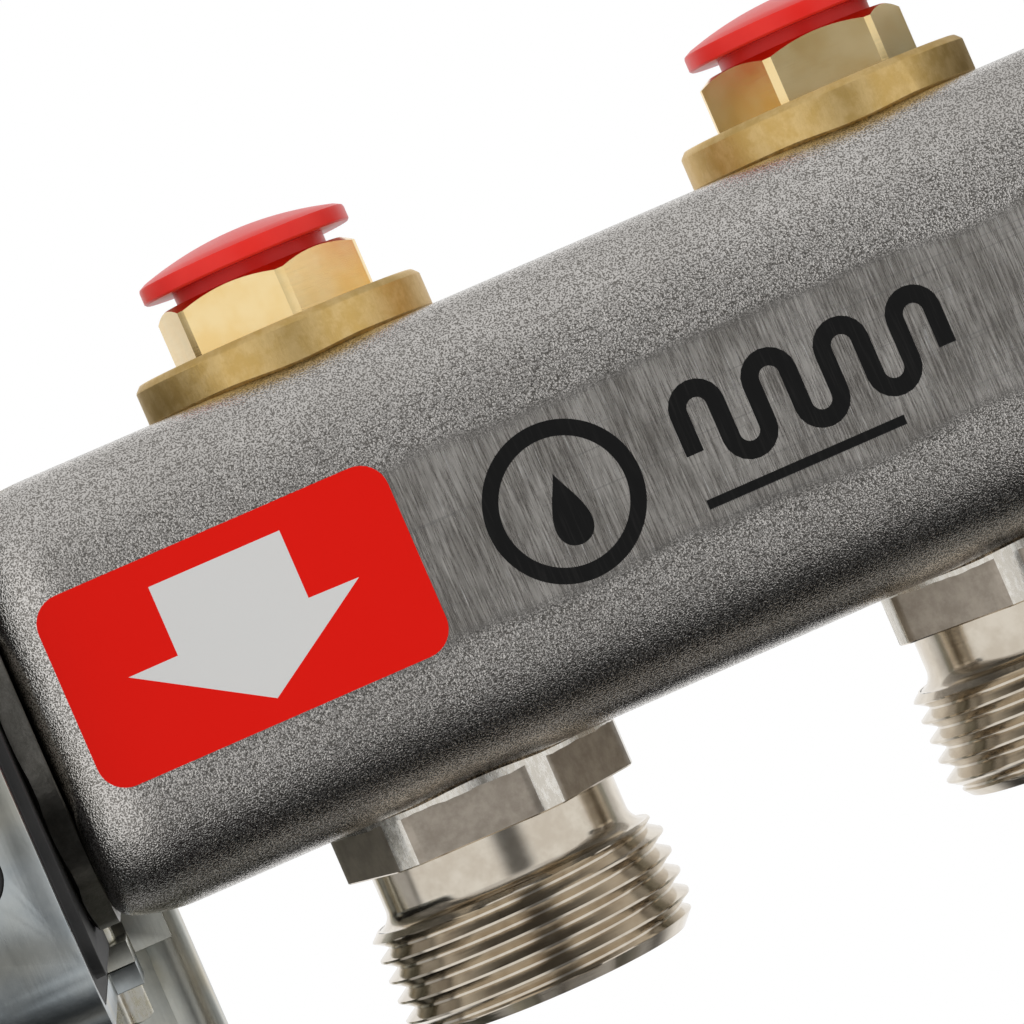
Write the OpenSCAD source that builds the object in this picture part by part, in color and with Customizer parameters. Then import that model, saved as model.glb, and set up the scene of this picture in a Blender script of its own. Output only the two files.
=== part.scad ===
// Underfloor heating manifold: a supply bar and a return bar of rolled stainless tube on two
// zinc-plated wall rails, with lockshield valves above the supply bar, thermostatic valves above
// the return bar and a threaded outlet under each valve.
// Millimetres. X runs along the bars, Z points up and Y points from the room to the wall.
// The origin is the centre of the four wall slots, on the wall plane.

/* [Bars] */
// Distance between neighbouring circuits
pitch = 50; // [44:1:70]
// Height of the bar's section
bar_h = 37; // [35:0.5:44]
// Depth of the bar's section
bar_d = 36; // [34:0.5:44]
// Outer corner radius of the bar's section
bar_r = 8; // [6:0.5:14]
// Wall of the bar
bar_wall = 1.5; // [1:0.1:2]
// Length of bar past the last circuit's axis
bar_end = 31.4; // [30:0.2:45]
// Radius that rounds the bar's formed ends
bar_round = 4.6; // [3:0.2:5.4]
// Height between the two bars' axes
bar_gap = 200; // [180:5:260]

/* [Ends] */
// Distance across the flats of the twelve-sided shoulder beside the bar
shoulder_af = 36; // [35:0.5:37]
// Length of the twelve-sided shoulder
shoulder_l = 2.2; // [1.5:0.1:4]
// Radius of the sleeve that the clamp holds
sleeve_r = 17.3; // [16.8:0.1:18]
// Length of the sleeve
sleeve_l = 24.2; // [24:0.2:34]
// Distance across the flats of the end's wrench hexagon
end_af = 41; // [39:0.5:46]
// Length of the end's wrench hexagon
end_l = 12; // [9:0.5:18]
// Inner radius of the one-inch pipe thread
end_thread_r = 15.15; // [14.9:0.05:15.4]
// Depth of the one-inch pipe thread
end_thread_l = 16; // [12:0.5:22]
// Radius of the waterway through the end
end_bore_r = 11.5; // [9:0.5:12]

/* [Valves] */
// Radius of the brass flange that sits on the bar
flange_r = 12.9; // [12.6:0.1:14]
// Thickness of the brass flange
flange_t = 3.6; // [2.6:0.1:5]
// Upper edge chamfer of the brass flange
flange_c = 0.5; // [0.2:0.05:0.6]
// Distance across the flats of the brass hexagon
hex_af = 16.4; // [16:0.1:19]
// Height of the brass hexagon
hex_h = 4.8; // [4:0.1:8]
// How much of the brass hexagon's corners its round blank leaves off
hex_cut = 0.22; // [0.1:0.02:0.6]
// Radius of the valve's shank, inside the bar
shank_r = 10; // [9.5:0.1:10.4]
// Bore of the valve's cage
cage_r = 7.6; // [7.4:0.1:8]
// Radius of the hole in the hexagon that the red cap plugs
cap_hole_r = 6.85; // [6.6:0.05:7.2]
// Radius of the regulating spindle
spindle_r = 3.4; // [3:0.1:4]
// Distance across the flats of the spindle's key socket
key_af = 4; // [3:0.5:4.5]
// Stroke of the regulating cone
cone_stroke = 4; // [3:0.5:4.5]
// Height of the seat above the bar's axis
seat_z = -1; // [-2:0.5:0]

/* [Caps] */
// Radius of the red cap's rim
cap_r = 9.3; // [8.5:0.1:11]
// Gap between the hexagon and the red cap's rim
cap_gap = 1.1; // [0.8:0.1:3]
// Thickness of the red cap's rim
cap_rim = 1.5; // [1:0.1:2.5]
// Height of the red cap's dome above its rim
cap_dome = 1.5; // [0.8:0.1:2.5]
// Depth of the red cap's plug in the hexagon
cap_plug = 3.6; // [2.5:0.1:4]
// Radius of the blue hand cap
hand_r = 18; // [17.6:0.2:21]
// Height of the blue hand cap
hand_h = 24; // [22:0.5:30]
// Depth of the grooves round the blue hand cap
hand_groove = 0.9; // [0.5:0.1:1.2]

/* [Thermostatic inserts] */
// Outer radius of the actuator thread
actuator_r = 14.9; // [14.7:0.05:15]
// Height of the actuator thread
actuator_h = 8.5; // [7:0.5:10]
// Radius of the valve pin
pin_r = 1.5; // [1.2:0.1:2]
// Height of the pin above the actuator thread when the valve is open
pin_proud = 4; // [3.5:0.5:6]
// Stroke of the pin
pin_stroke = 3.5; // [2.5:0.5:3.5]
// Wire radius of the return spring
spring_wire = 0.4; // [0.3:0.05:0.5]
// Coils of the return spring
spring_coils = 5; // [4:1:6]

/* [Outlets] */
// Radius of the outlet's collar
collar_r = 12.95; // [12.6:0.05:14]
// Distance across the six flats milled on the collar
collar_af = 23.4; // [22.5:0.1:24.5]
// Height of the collar, from the bar to its lower face
collar_h = 4.7; // [4:0.1:7]
// Height of the collar's round rim above the flats
collar_rim = 0.55; // [0.3:0.05:1]
// Radius of the smooth neck between collar and thread
neck_r = 11; // [10.6:0.1:11.6]
// Outer radius of the three-quarter-inch pipe thread
thread_r = 13.1; // [13:0.05:13.22]
// Height of the smooth neck
neck_h = 4.6; // [3:0.1:7]
// Height of the thread
thread_h = 9.6; // [8:0.2:14]
// Bore of the outlet
outlet_r = 8; // [6:0.5:8.5]
// Bore of the outlet's mouth, where a cone seats
mouth_r = 9.2; // [8.6:0.1:9.8]

/* [Wall rails] */
// Width of the rail
rail_w = 36.4; // [34:0.2:42]
// Depth of the rail from the wall
rail_depth = 16; // [14:0.5:24]
// Sheet of the rail
rail_t = 1.8; // [1.5:0.1:2.2]
// Width of the rail's inturned front lips
rail_lip = 3.8; // [3.4:0.1:5]
// Length of rail past each bar's axis
rail_past = 40; // [38:1:60]
// Wall slot's half width
slot_r = 3.2; // [2.6:0.1:3.6]
// Wall slot's length
slot_l = 12; // [8:0.5:16]
// Distance from the rail's end to the wall slot
slot_edge = 8; // [7:0.5:10]

/* [Clamps] */
// Width of the clamp strap
strap_w = 22; // [20:0.5:24]
// Sheet of the clamp strap
strap_t = 2; // [1.5:0.1:2.5]
// Half height of the rubber insert
insert_r = 22.7; // [21.5:0.1:24]
// How far the rubber stands out of each side of the strap
insert_lip = 1; // [0.5:0.1:1.5]
// Inner radius of the strap's bends
strap_bend = 4.2; // [3:0.1:6]
// Width of the strap's ears
ear_w = 27; // [26.5:0.1:27.5]
// Length of the strap's ears
ear_l = 10; // [9:0.5:12]
// Distance from the strap's middle to each ear's bolt
ear_x = 9.2; // [8.5:0.1:9.6]
// Width of the saddle's base on the rail
saddle_w = 34; // [30:0.5:34]
// How far the return bar stands further from the wall
return_offset = 35; // [30:1:50]

/* [Stickers] */
// Width of the arrow sticker
label_w = 29; // [24:0.5:32]
// Height of the arrow sticker
label_h = 15.4; // [12:0.2:15.6]
// Corner radius of the arrow sticker
label_r = 2.2; // [1:0.1:4]

/* [Hidden] */
$fn = 96;
circuits = 2;                     // circuits on each bar
EPS = 0.01;                       // small overlap that keeps a cut open
FIT = 0.06;                       // radial clearance of a running fit
LOOSE = 0.2;                      // radial clearance of a loose fit
FOIL = 0.12;                      // thickness of a printed sticker
RING = 0.75;                      // tube radius of the flange seals
saddle_drop = 5;                  // how far down the flanges may follow the bar's corners
bar_half = (circuits - 1) * pitch / 2 + bar_end;
bar_top = bar_h / 2;
bar_front = bar_d / 2;
hole_r = shank_r + LOOSE;
strap_out = insert_r + strap_t;
end_x = bar_half + shoulder_l;                    // where the sleeve starts
clamp_x = end_x + sleeve_l / 2;                   // middle of rail and strap
socket_x = end_x + sleeve_l + end_l;              // open face of the end
supply_y = -(rail_depth + strap_out);
return_y = supply_y - return_offset;
supply_z = bar_gap / 2;
return_z = -bar_gap / 2;
rail_half = bar_gap / 2 + rail_past;
flange_top = bar_top + flange_t;
hex_top = flange_top + hex_h;
rim_z = hex_top + cap_gap;
collar_z = -bar_top - collar_h;
neck_z = collar_z - neck_h;
thread_z = neck_z - thread_h;
bonnet_z = 13;                                    // underside of the valve's bonnet
skirt_z = -10;                                    // lower end of the valve's cage
seat_r = 5.2;                                     // waterway through the seat
disc_t = 2.2;                                     // brass part of cone and disc
washer_t = 1.8;                                   // rubber part of cone and disc
washer_r = 6.8;                                   // radius of the rubber washer
tail_r = 1.8;                                     // tail of the supply spindle
open_z = seat_z + cone_stroke + 0.2;              // washer's face when the supply valve is open
lift_z = seat_z + pin_stroke + 0.2;               // washer's face when the return valve is open
actuator_z = hex_top - 0.6;                       // underside of the actuator thread
actuator_top = actuator_z + actuator_h;
pin_top = actuator_top + pin_proud;
spring_low = bonnet_z + 3;                        // ledge under the return spring
spring_high = spring_low + 9;                     // pin's collar above the return spring
bolt_r = 2;                                       // clamp bolts are M4
bolt_af = 7;
bolt_head = 3.4;                                  // radius of the clamp bolt's flat head
head_h = 1.6;
nut_h = 3.2;
stud_r = 3;                                       // saddle bolts are M6
stud_l = 7;                                       // how far the saddle bolt reaches into the rail
stud_h = 2.2;                                     // height of the saddle bolt's head
stud_z = 12;                                      // distance of each saddle bolt from the bar's axis
plate_t = 4;                                      // thickness of the rail's plate nuts
plate_half = rail_w / 2 - rail_t - 0.8;           // half width of the rail's plate nuts
plug_af = 24;                                     // hexagon of the end plugs
plug_h = 9;
plug_flange = 3;
gasket_t = 1.5;
vent_r = 3;                                       // shank of the bleed screw
drain_x = gasket_t + plug_flange + plug_h;        // where the drain cock's barrel starts
drain_l = 17;                                     // length of that barrel
drain_mid = drain_x + 8;                          // axis of the drain cock's spindle
thread_hose = 12.2;                               // radius of the drain cock's hose thread
tail_h = gasket_t + plug_flange;                  // height of the plug below its hexagon
stud_head = 5;
side_gap = FIT + 0.04;

function circuit_x(i) = (i - 1 - (circuits - 1) / 2) * pitch;
function turn_of(i, first, step) = first + (i - 1) * step;

SIDES = ["left", "right"];
LINES = ["supply", "return"];

// ---------- helpers ----------

module on_line(line) {
    translate([0, line == "supply" ? supply_y : return_y, line == "supply" ? supply_z : return_z]) children();
}

module on_circuit(line, i) {
    on_line(line) translate([circuit_x(i), 0, 0]) children();
}

// puts +Z of what it holds along +X, at the right end, or along -X, at the left end
module on_end(line, side, x = 0) {
    on_line(line)
        if (side == "right") translate([x, 0, 0]) rotate([0, 90, 0]) children();
        else translate([-x, 0, 0]) rotate([0, -90, 0]) children();
}

module at_clamp(line, side) {
    on_line(line) translate([side == "right" ? clamp_x : -clamp_x, 0, 0]) children();
}

// rounded rectangle a by b about the centre, from squares and circles only
module round_rect(a, b, r) {
    square([a - 2 * r, b], center = true);
    square([a, b - 2 * r], center = true);
    for (x = [-1, 1])
        for (y = [-1, 1])
            translate([x * (a / 2 - r), y * (b / 2 - r)]) circle(r);
}

// hexagonal prism turned from a round blank: corners cut back and thirty-degree end chamfers
module hex_bar(af, h, cut, low = 0.5) {
    corner = af / 2 / cos(30);
    edge = corner - cut;
    flat = af / 2 * 0.985;
    drop = (edge - flat) * tan(30);
    intersection() {
        cylinder(r = corner, h = h, $fn = 6);
        rotate_extrude()
            polygon([[0, 0], [edge - drop * low, 0], [edge, drop * low], [edge, h - drop],
                     [flat, h], [0, h]]);
    }
}

module ring(r_out, r_in, h) {
    difference() {
        cylinder(r = r_out, h = h);
        translate([0, 0, -EPS]) cylinder(r = r_in, h = h + 2 * EPS);
    }
}

// ---------- bars ----------

// closed form of a bar, its ends rounded in both views; grow is negative for the hollow inside
module bar_form(grow) {
    l = 2 * (bar_half + grow);
    d = bar_d + 2 * grow;
    h = bar_h + 2 * grow;
    e = bar_round + grow;
    intersection() {
        rotate([90, 0, 90]) translate([0, 0, -l]) linear_extrude(2 * l) round_rect(d, h, bar_r + grow);
        translate([0, 0, -h]) linear_extrude(2 * h) round_rect(l, d, e);
        rotate([90, 0, 0]) translate([0, 0, -d]) linear_extrude(2 * d) round_rect(l, h, e);
    }
}

module bar(line) {
    color([0.66, 0.64, 0.61])
    on_line(line)
    difference() {
        bar_form(0);
        bar_form(-bar_wall);
        for (i = [1:circuits])
            translate([circuit_x(i), 0, -bar_top - 1]) cylinder(r = hole_r, h = bar_h + 2);
        rotate([0, 90, 0]) cylinder(r = end_bore_r + 1.5, h = 2 * bar_half + 2, center = true);
    }
}

// threaded end: spigot in the bar, twelve-sided shoulder, sleeve, wrench hexagon
module end_socket(line, side) {
    color([0.72, 0.71, 0.68])
    on_end(line, side, bar_half)
    difference() {
        union() {
            translate([0, 0, -3]) cylinder(r = end_bore_r + 1.5 - side_gap, h = 3 + EPS);
            rotate([0, 0, 15]) cylinder(r = shoulder_af / 2 / cos(15), h = shoulder_l, $fn = 12);
            cylinder(r = sleeve_r, h = shoulder_l + sleeve_l + EPS);
            translate([0, 0, shoulder_l + sleeve_l]) hex_bar(end_af, end_l, 0.8);
        }
        translate([0, 0, -4]) cylinder(r = end_bore_r, h = 60);
        translate([0, 0, socket_x - bar_half - end_thread_l])
            cylinder(r = end_thread_r, h = end_thread_l + 1);
    }
}

// ---------- valves ----------

// metal between a flat flange above the bar and the bar's rounded corners
module saddle_ring(r) {
    difference() {
        translate([0, 0, bar_top - saddle_drop]) cylinder(r = r, h = saddle_drop + EPS);
        rotate([90, 0, 90]) translate([0, 0, -r - 1]) linear_extrude(2 * r + 2)
            round_rect(bar_d, bar_h, bar_r);
    }
}

// brass part common to both valves: flange, shank and windowed cage
module valve_shell() {
    rotate_extrude()
        polygon([[0, bar_top], [flange_r, bar_top], [flange_r, flange_top - flange_c],
            [flange_r - flange_c, flange_top], [0, flange_top]]);
    saddle_ring(flange_r);
    translate([0, 0, skirt_z]) cylinder(r = shank_r, h = bar_top - skirt_z + EPS);
}

module valve_hollow() {
    translate([0, 0, skirt_z - 1]) cylinder(r = cage_r, h = bonnet_z - skirt_z + 1);
    for (a = [0, 90])
        rotate([0, 0, a + 45])
            translate([-shank_r - 1, -3.6, seat_z + 1]) cube([2 * shank_r + 2, 7.2, bonnet_z - seat_z - 3]);
    translate([0, 0, bar_top - EPS])
        difference() {
            cylinder(r = shank_r + 2 * RING + LOOSE, h = 2 * RING);
            translate([0, 0, -1]) cylinder(r = shank_r + LOOSE, h = 2 * RING + 2);
        }
}

module supply_valve_body(i) {
    color([0.80, 0.62, 0.32])
    on_circuit("supply", i)
    difference() {
        union() {
            valve_shell();
            rotate([0, 0, turn_of(i, -19, 21.7)])
                translate([0, 0, flange_top - EPS]) hex_bar(hex_af, hex_h + EPS, hex_cut, 0);
        }
        valve_hollow();
        translate([0, 0, bonnet_z - 1]) cylinder(r = spindle_r + FIT, h = 40);
        translate([0, 0, hex_top - cap_plug - 1]) cylinder(r = cap_hole_r, h = cap_plug + 2);
    }
}

// spindle with a hexagonal key socket, a stop collar and a tail that the cone travels on
module supply_spindle(i) {
    color([0.78, 0.66, 0.40])
    on_circuit("supply", i)
    difference() {
        union() {
            translate([0, 0, bonnet_z - 3]) cylinder(r = spindle_r, h = hex_top - cap_plug - bonnet_z + 4);
            translate([0, 0, bonnet_z - 3]) cylinder(r = spindle_r + 1, h = 2.7);
            translate([0, 0, seat_z + 0.5]) cylinder(r = tail_r, h = bonnet_z - 3 - seat_z);
        }
        translate([0, 0, hex_top - cap_plug - 4]) cylinder(r = key_af / 2 / cos(30), h = 10, $fn = 6);
    }
}

// cone that travels on the spindle's tail and closes the seat
module supply_cone(i) {
    color([0.78, 0.66, 0.40])
    on_circuit("supply", i)
    difference() {
        union() {
            translate([0, 0, open_z + washer_t]) cylinder(r = cage_r - FIT - 0.04, h = disc_t);
            translate([0, 0, open_z - 0.8]) cylinder(r = 3.4, h = washer_t + 1);
        }
        translate([0, 0, open_z - 2]) cylinder(r = tail_r + FIT, h = washer_t + disc_t + 4);
    }
}

module disc_washer(z) {
    translate([0, 0, z]) ring(washer_r, 3.4, washer_t);
}

module supply_cone_washer(i) {
    color([0.12, 0.12, 0.12]) on_circuit("supply", i) disc_washer(open_z);
}

// red push-in cap: hollow plug, thin rim and low dome
module supply_cap(i) {
    dome_r = (cap_r * cap_r + cap_dome * cap_dome) / (2 * cap_dome);
    color([0.86, 0.10, 0.08])
    on_circuit("supply", i)
    difference() {
        union() {
            translate([0, 0, hex_top - cap_plug])
                cylinder(r = cap_hole_r - FIT, h = cap_plug + cap_gap + EPS);
            translate([0, 0, rim_z]) cylinder(r = cap_r, h = cap_rim);
            intersection() {
                translate([0, 0, rim_z + cap_rim + cap_dome - dome_r]) sphere(dome_r);
                translate([0, 0, rim_z + cap_rim - EPS]) cylinder(r = cap_r, h = cap_dome + 1);
            }
        }
        translate([0, 0, hex_top - cap_plug - 1]) cylinder(r = cap_hole_r - 1.4, h = cap_plug + cap_gap + 1);
    }
}

module return_valve_body(i) {
    color([0.74, 0.73, 0.70])
    on_circuit("return", i)
    difference() {
        union() {
            valve_shell();
            rotate([0, 0, turn_of(i, 8, 21)])
                translate([0, 0, flange_top - EPS]) hex_bar(hex_af + 2.4, hex_h + EPS, hex_cut, 0);
            translate([0, 0, actuator_z])
                rotate_extrude()
                    polygon([[0, -3], [hex_af / 2, -3], [hex_af / 2 + 1, -0.6],
                             [actuator_r - 1, 0], [actuator_r, 1],
                        [actuator_r, actuator_h - 1], [actuator_r - 1, actuator_h], [0, actuator_h]]);
        }
        valve_hollow();
        translate([0, 0, bonnet_z - 1]) cylinder(r = pin_r + FIT, h = 60);
        translate([0, 0, spring_low]) cylinder(r = 4.4, h = spring_high + 1.2 - spring_low);
        translate([0, 0, actuator_top - 3]) ring(actuator_r - 3, 4.5, 4);
    }
}

// pin with the collar that the spring lifts and the disc that closes the seat
module return_pin(i) {
    color([0.70, 0.70, 0.70])
    on_circuit("return", i) {
        translate([0, 0, lift_z + washer_t]) cylinder(r = pin_r, h = pin_top - lift_z - washer_t);
        translate([0, 0, spring_high]) cylinder(r = 4.2, h = 1);
        translate([0, 0, lift_z + washer_t]) cylinder(r = cage_r - 0.3, h = disc_t);
        translate([0, 0, lift_z - 0.8]) cylinder(r = 3.4, h = washer_t + 1);
    }
}

module return_disc_washer(i) {
    color([0.12, 0.12, 0.12]) on_circuit("return", i) disc_washer(lift_z);
}

// helical spring between the ledge and the pin's collar
module return_spring(i) {
    sides = 6;
    steps = 14 * spring_coils;
    rise = spring_high - spring_low - 2 * spring_wire - 0.1;
    coil = 3.2;
    pts = [for (k = [0:steps]) for (j = [0:sides - 1])
        let (a = 360 * spring_coils * k / steps, b = 360 * j / sides)
        [(coil + spring_wire * cos(b)) * cos(a), (coil + spring_wire * cos(b)) * sin(a),
            spring_low + spring_wire + 0.05 + rise * k / steps + spring_wire * sin(b)]];
    wall = [for (k = [0:steps - 1]) for (j = [0:sides - 1])
        let (n = (j + 1) % sides)
        [k * sides + j, k * sides + n, (k + 1) * sides + n, (k + 1) * sides + j]];
    color([0.72, 0.72, 0.74])
    on_circuit("return", i)
        polyhedron(points = pts, faces = concat(wall, [[for (j = [sides - 1:-1:0]) j]],
            [[for (j = [0:sides - 1]) steps * sides + j]]), convexity = 8);
}

// blue hand cap over the actuator thread, with a fluted grip and a closed top
module return_hand_cap(i) {
    low = actuator_z + 0.6;
    flutes = 24;
    color([0.10, 0.22, 0.62])
    on_circuit("return", i)
    difference() {
        rotate_extrude()
            polygon([[0, low], [hand_r - 1, low], [hand_r, low + 1], [hand_r, low + hand_h - 3],
                [hand_r - 3, low + hand_h], [0, low + hand_h]]);
        translate([0, 0, low - 1]) cylinder(r = actuator_r + FIT, h = actuator_top - low + 2);
        translate([0, 0, low]) cylinder(r = 10, h = pin_top - low + 0.5);
        for (k = [0:flutes - 1])
            rotate([0, 0, 360 * k / flutes])
                translate([hand_r + 1.5 - hand_groove, 0, low + 3]) cylinder(r = 1.5, h = hand_h);
    }
}

// ---------- outlets ----------

// spigot that screws into the valve's cage, collar with six milled flats, neck and thread
module outlet(line, i) {
    color([0.74, 0.73, 0.70])
    on_circuit(line, i)
    difference() {
        union() {
            translate([0, 0, seat_z - 12.9]) cylinder(r = cage_r - side_gap, h = 12.9);
            translate([0, 0, -bar_top - EPS]) cylinder(r = shank_r, h = bar_top + seat_z - 12 + EPS);
            intersection() {
                translate([0, 0, collar_z]) cylinder(r = collar_r, h = collar_h);
                union() {
                    rotate([0, 0, turn_of(i, -8, 24.6)])
                        translate([0, 0, collar_z - 1])
                            cylinder(r = collar_af / 2 / cos(30), h = collar_h + 2, $fn = 6);
                    translate([0, 0, -bar_top - collar_rim]) cylinder(r = collar_r, h = collar_rim);
                }
            }
            mirror([0, 0, 1]) saddle_ring(collar_r);
            translate([0, 0, neck_z]) cylinder(r = neck_r, h = neck_h + EPS);
            rotate_extrude()
                polygon([[0, thread_z], [thread_r - 1.6, thread_z], [thread_r, thread_z + 1.2],
                    [thread_r, neck_z - 1], [neck_r, neck_z + EPS], [0, neck_z + EPS]]);
        }
        translate([0, 0, thread_z - 1]) cylinder(r = mouth_r, h = 6);
        translate([0, 0, thread_z + 4]) cylinder(r = outlet_r, h = seat_z - 12.9 - thread_z - 4 + EPS);
        translate([0, 0, seat_z - 13]) cylinder(r = seat_r, h = 14);
        translate([0, 0, -bar_top - 2 * RING])
            difference() {
                cylinder(r = shank_r + 2 * RING + LOOSE, h = 2 * RING + EPS);
                translate([0, 0, -1]) cylinder(r = shank_r + LOOSE, h = 2 * RING + 2);
            }
    }
}

module seal_rings(z) {
    for (l = LINES)
        for (i = [1:circuits])
            on_circuit(l, i)
                translate([0, 0, z]) rotate_extrude() translate([shank_r + LOOSE + RING, 0])
                    circle(RING - EPS, $fn = 32);
}

module valve_seals() {
    color([0.10, 0.10, 0.10]) seal_rings(bar_top + RING);
}

module outlet_seals() {
    color([0.10, 0.10, 0.10]) seal_rings(-bar_top - RING);
}

module sticker(line) {
    color(line == "supply" ? [0.84, 0.08, 0.05] : [0.08, 0.24, 0.66])
    on_line(line)
        translate([circuit_x(1) - 12.7, -bar_front, 0.65])
            rotate([90, 0, 0]) linear_extrude(FOIL) round_rect(label_w, label_h, label_r);
}

// ---------- right-hand end fittings ----------

// plug screwed into an end socket: spigot in the thread, flange, wrench hexagon
module end_plug(line, drill) {
    color([0.74, 0.73, 0.70])
    on_end(line, "right", socket_x)
    difference() {
        union() {
            translate([0, 0, 2 - end_thread_l])
                cylinder(r = end_thread_r - side_gap, h = end_thread_l + gasket_t - 1);
            translate([0, 0, gasket_t]) cylinder(r = end_af / 2 - 0.5, h = plug_flange);
            translate([0, 0, tail_h - EPS]) hex_bar(plug_af, plug_h + EPS, 0.5);
        }
        translate([0, 0, -end_thread_l]) cylinder(r = end_thread_r - 3, h = end_thread_l);
        translate([0, 0, -end_thread_l]) cylinder(r = drill, h = end_thread_l + 20);
    }
}

module end_plug_gaskets() {
    color([0.10, 0.10, 0.10])
    for (l = LINES)
        on_end(l, "right", socket_x) ring(end_af / 2 - 1, end_thread_r + 0.3, gasket_t);
}

// slotted bleed screw in the supply bar's plug
module air_vent_screw() {
    head_z = drain_x + 0.2;
    color([0.80, 0.62, 0.32])
    on_end("supply", "right", socket_x)
    difference() {
        union() {
            translate([0, 0, 0.5]) cylinder(r = vent_r - FIT, h = head_z);
            translate([0, 0, head_z]) cylinder(r = vent_r + 2, h = 4);
        }
        translate([-6, -0.6, head_z + 2.4]) cube([12, 1.2, 4]);
        translate([0, 0, -0.5]) cylinder(r = 1.2, h = 8);
    }
}

// drain cock: barrel in the return bar's plug, side boss for its spindle, hose thread
module drain_cock() {
    color([0.74, 0.73, 0.70])
    on_end("return", "right", socket_x)
    difference() {
        union() {
            translate([0, 0, 0.5]) cylinder(r = 6 - side_gap, h = drain_x);
            translate([0, 0, drain_x]) cylinder(r = 10, h = drain_l);
            translate([0, 0, drain_x + drain_l - EPS]) cylinder(r = thread_hose, h = 9);
            translate([-14, 0, drain_mid]) rotate([0, 90, 0]) cylinder(r = 6, h = 14);
        }
        translate([0, 0, -1]) cylinder(r = 4, h = drain_x + drain_l + 20);
        translate([-15, 0, drain_mid]) rotate([0, 90, 0]) cylinder(r = 3 + FIT, h = 15);
        translate([0, 0, drain_x + drain_l + 5]) cylinder(r = 8, h = 6);
    }
}

// square-headed spindle that opens the drain cock
module drain_spindle() {
    color([0.80, 0.62, 0.32])
    on_end("return", "right", socket_x)
        translate([-18.5, 0, drain_mid])
            rotate([0, 90, 0]) {
                translate([-2.5, -2.5, 0]) cube([5, 5, 4.2]);
                translate([0, 0, 4.2 - EPS]) cylinder(r = 3, h = 12.4);
            }
}

// screw cap over the drain cock's hose thread
module drain_cap() {
    low = drain_x + drain_l;
    color([0.12, 0.12, 0.13])
    on_end("return", "right", socket_x)
    difference() {
        rotate_extrude()
            polygon([[0, low + 0.4], [14.4, low + 0.4], [15, low + 1], [15, low + 10.6],
                     [13.8, low + 11.8], [0, low + 11.8]]);
        translate([0, 0, low - 1]) cylinder(r = thread_hose + FIT, h = 10.2);
        for (k = [0:17])
            rotate([0, 0, 20 * k]) translate([15.9, 0, low]) cylinder(r = 1.4, h = 9.6);
    }
}

// ---------- wall rails and clamps ----------

// C-section rail with inturned front lips and wall slots at both ends
module rail(side) {
    lip_d = 3;
    color([0.62, 0.63, 0.60])
    translate([side == "right" ? clamp_x : -clamp_x, 0, 0])
    difference() {
        translate([0, 0, -rail_half])
            linear_extrude(2 * rail_half)
                difference() {
                    translate([0, -rail_depth / 2]) round_rect(rail_w, rail_depth, rail_t + 0.6);
                    translate([0, -rail_depth / 2])
                        round_rect(rail_w - 2 * rail_t, rail_depth - 2 * rail_t, 0.6);
                    translate([0, -rail_depth]) square([rail_w - 2 * rail_lip, 4 * rail_t], center = true);
                }
        for (s = [-1, 1])
            translate([0, 1, s * (rail_half - slot_edge)])
                rotate([90, 0, 0])
                    linear_extrude(rail_t + 2) {
                        square([slot_l - 2 * slot_r, 2 * slot_r], center = true);
                        for (x = [-1, 1]) translate([x * (slot_l / 2 - slot_r), 0]) circle(slot_r);
                    }
    }
}

// side view of a bent U, wide open towards +Y; r is the outer bend radius
module u_profile(half, depth, t, r) {
    difference() {
        union() {
            translate([-half + r, -half]) square([depth + half - r, 2 * half]);
            translate([-half, -half + r]) square([r + EPS, 2 * (half - r)]);
            for (s = [-1, 1]) translate([-half + r, s * (half - r)]) circle(r);
        }
        union() {
            translate([-half + r, -half + t]) square([depth + half, 2 * (half - t)]);
            translate([-half + t, -half + r]) square([r, 2 * (half - r)]);
            for (s = [-1, 1]) translate([-half + r, s * (half - r)]) circle(r - t);
        }
    }
}

// oblong holes in the strap's front; shrink makes the rubber studs that fill them
module plug_slots(depth, shrink = 0) {
    for (s = [-1, 1])
        translate([0, -insert_r + 0.1, s * 9])
            rotate([90, 0, 0])
                linear_extrude(depth) {
                    square([10, 6 - 2 * shrink], center = true);
                    for (x = [-5, 5]) translate([x, 0]) circle(3 - shrink);
                }
}

// strap round the front of an end, with an ear on each leg for two bolts
module strap(line, side) {
    ear_from = insert_r - ear_l;
    color([0.70, 0.71, 0.68])
    at_clamp(line, side)
    difference() {
        union() {
            rotate([90, 0, 90])
                translate([0, 0, -strap_w / 2])
                    linear_extrude(strap_w) u_profile(strap_out, insert_r, strap_t, strap_bend + strap_t);
            for (s = [-1, 1])
                translate([-ear_w / 2, ear_from, s > 0 ? insert_r : -strap_out])
                    cube([ear_w, ear_l, strap_t]);
        }
        plug_slots(strap_t + 1);
        for (x = [-ear_x, ear_x])
            translate([x, ear_from + ear_l / 2, -strap_out - 1])
                cylinder(r = bolt_r + 0.25, h = 2 * strap_out + 2);
    }
}

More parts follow.
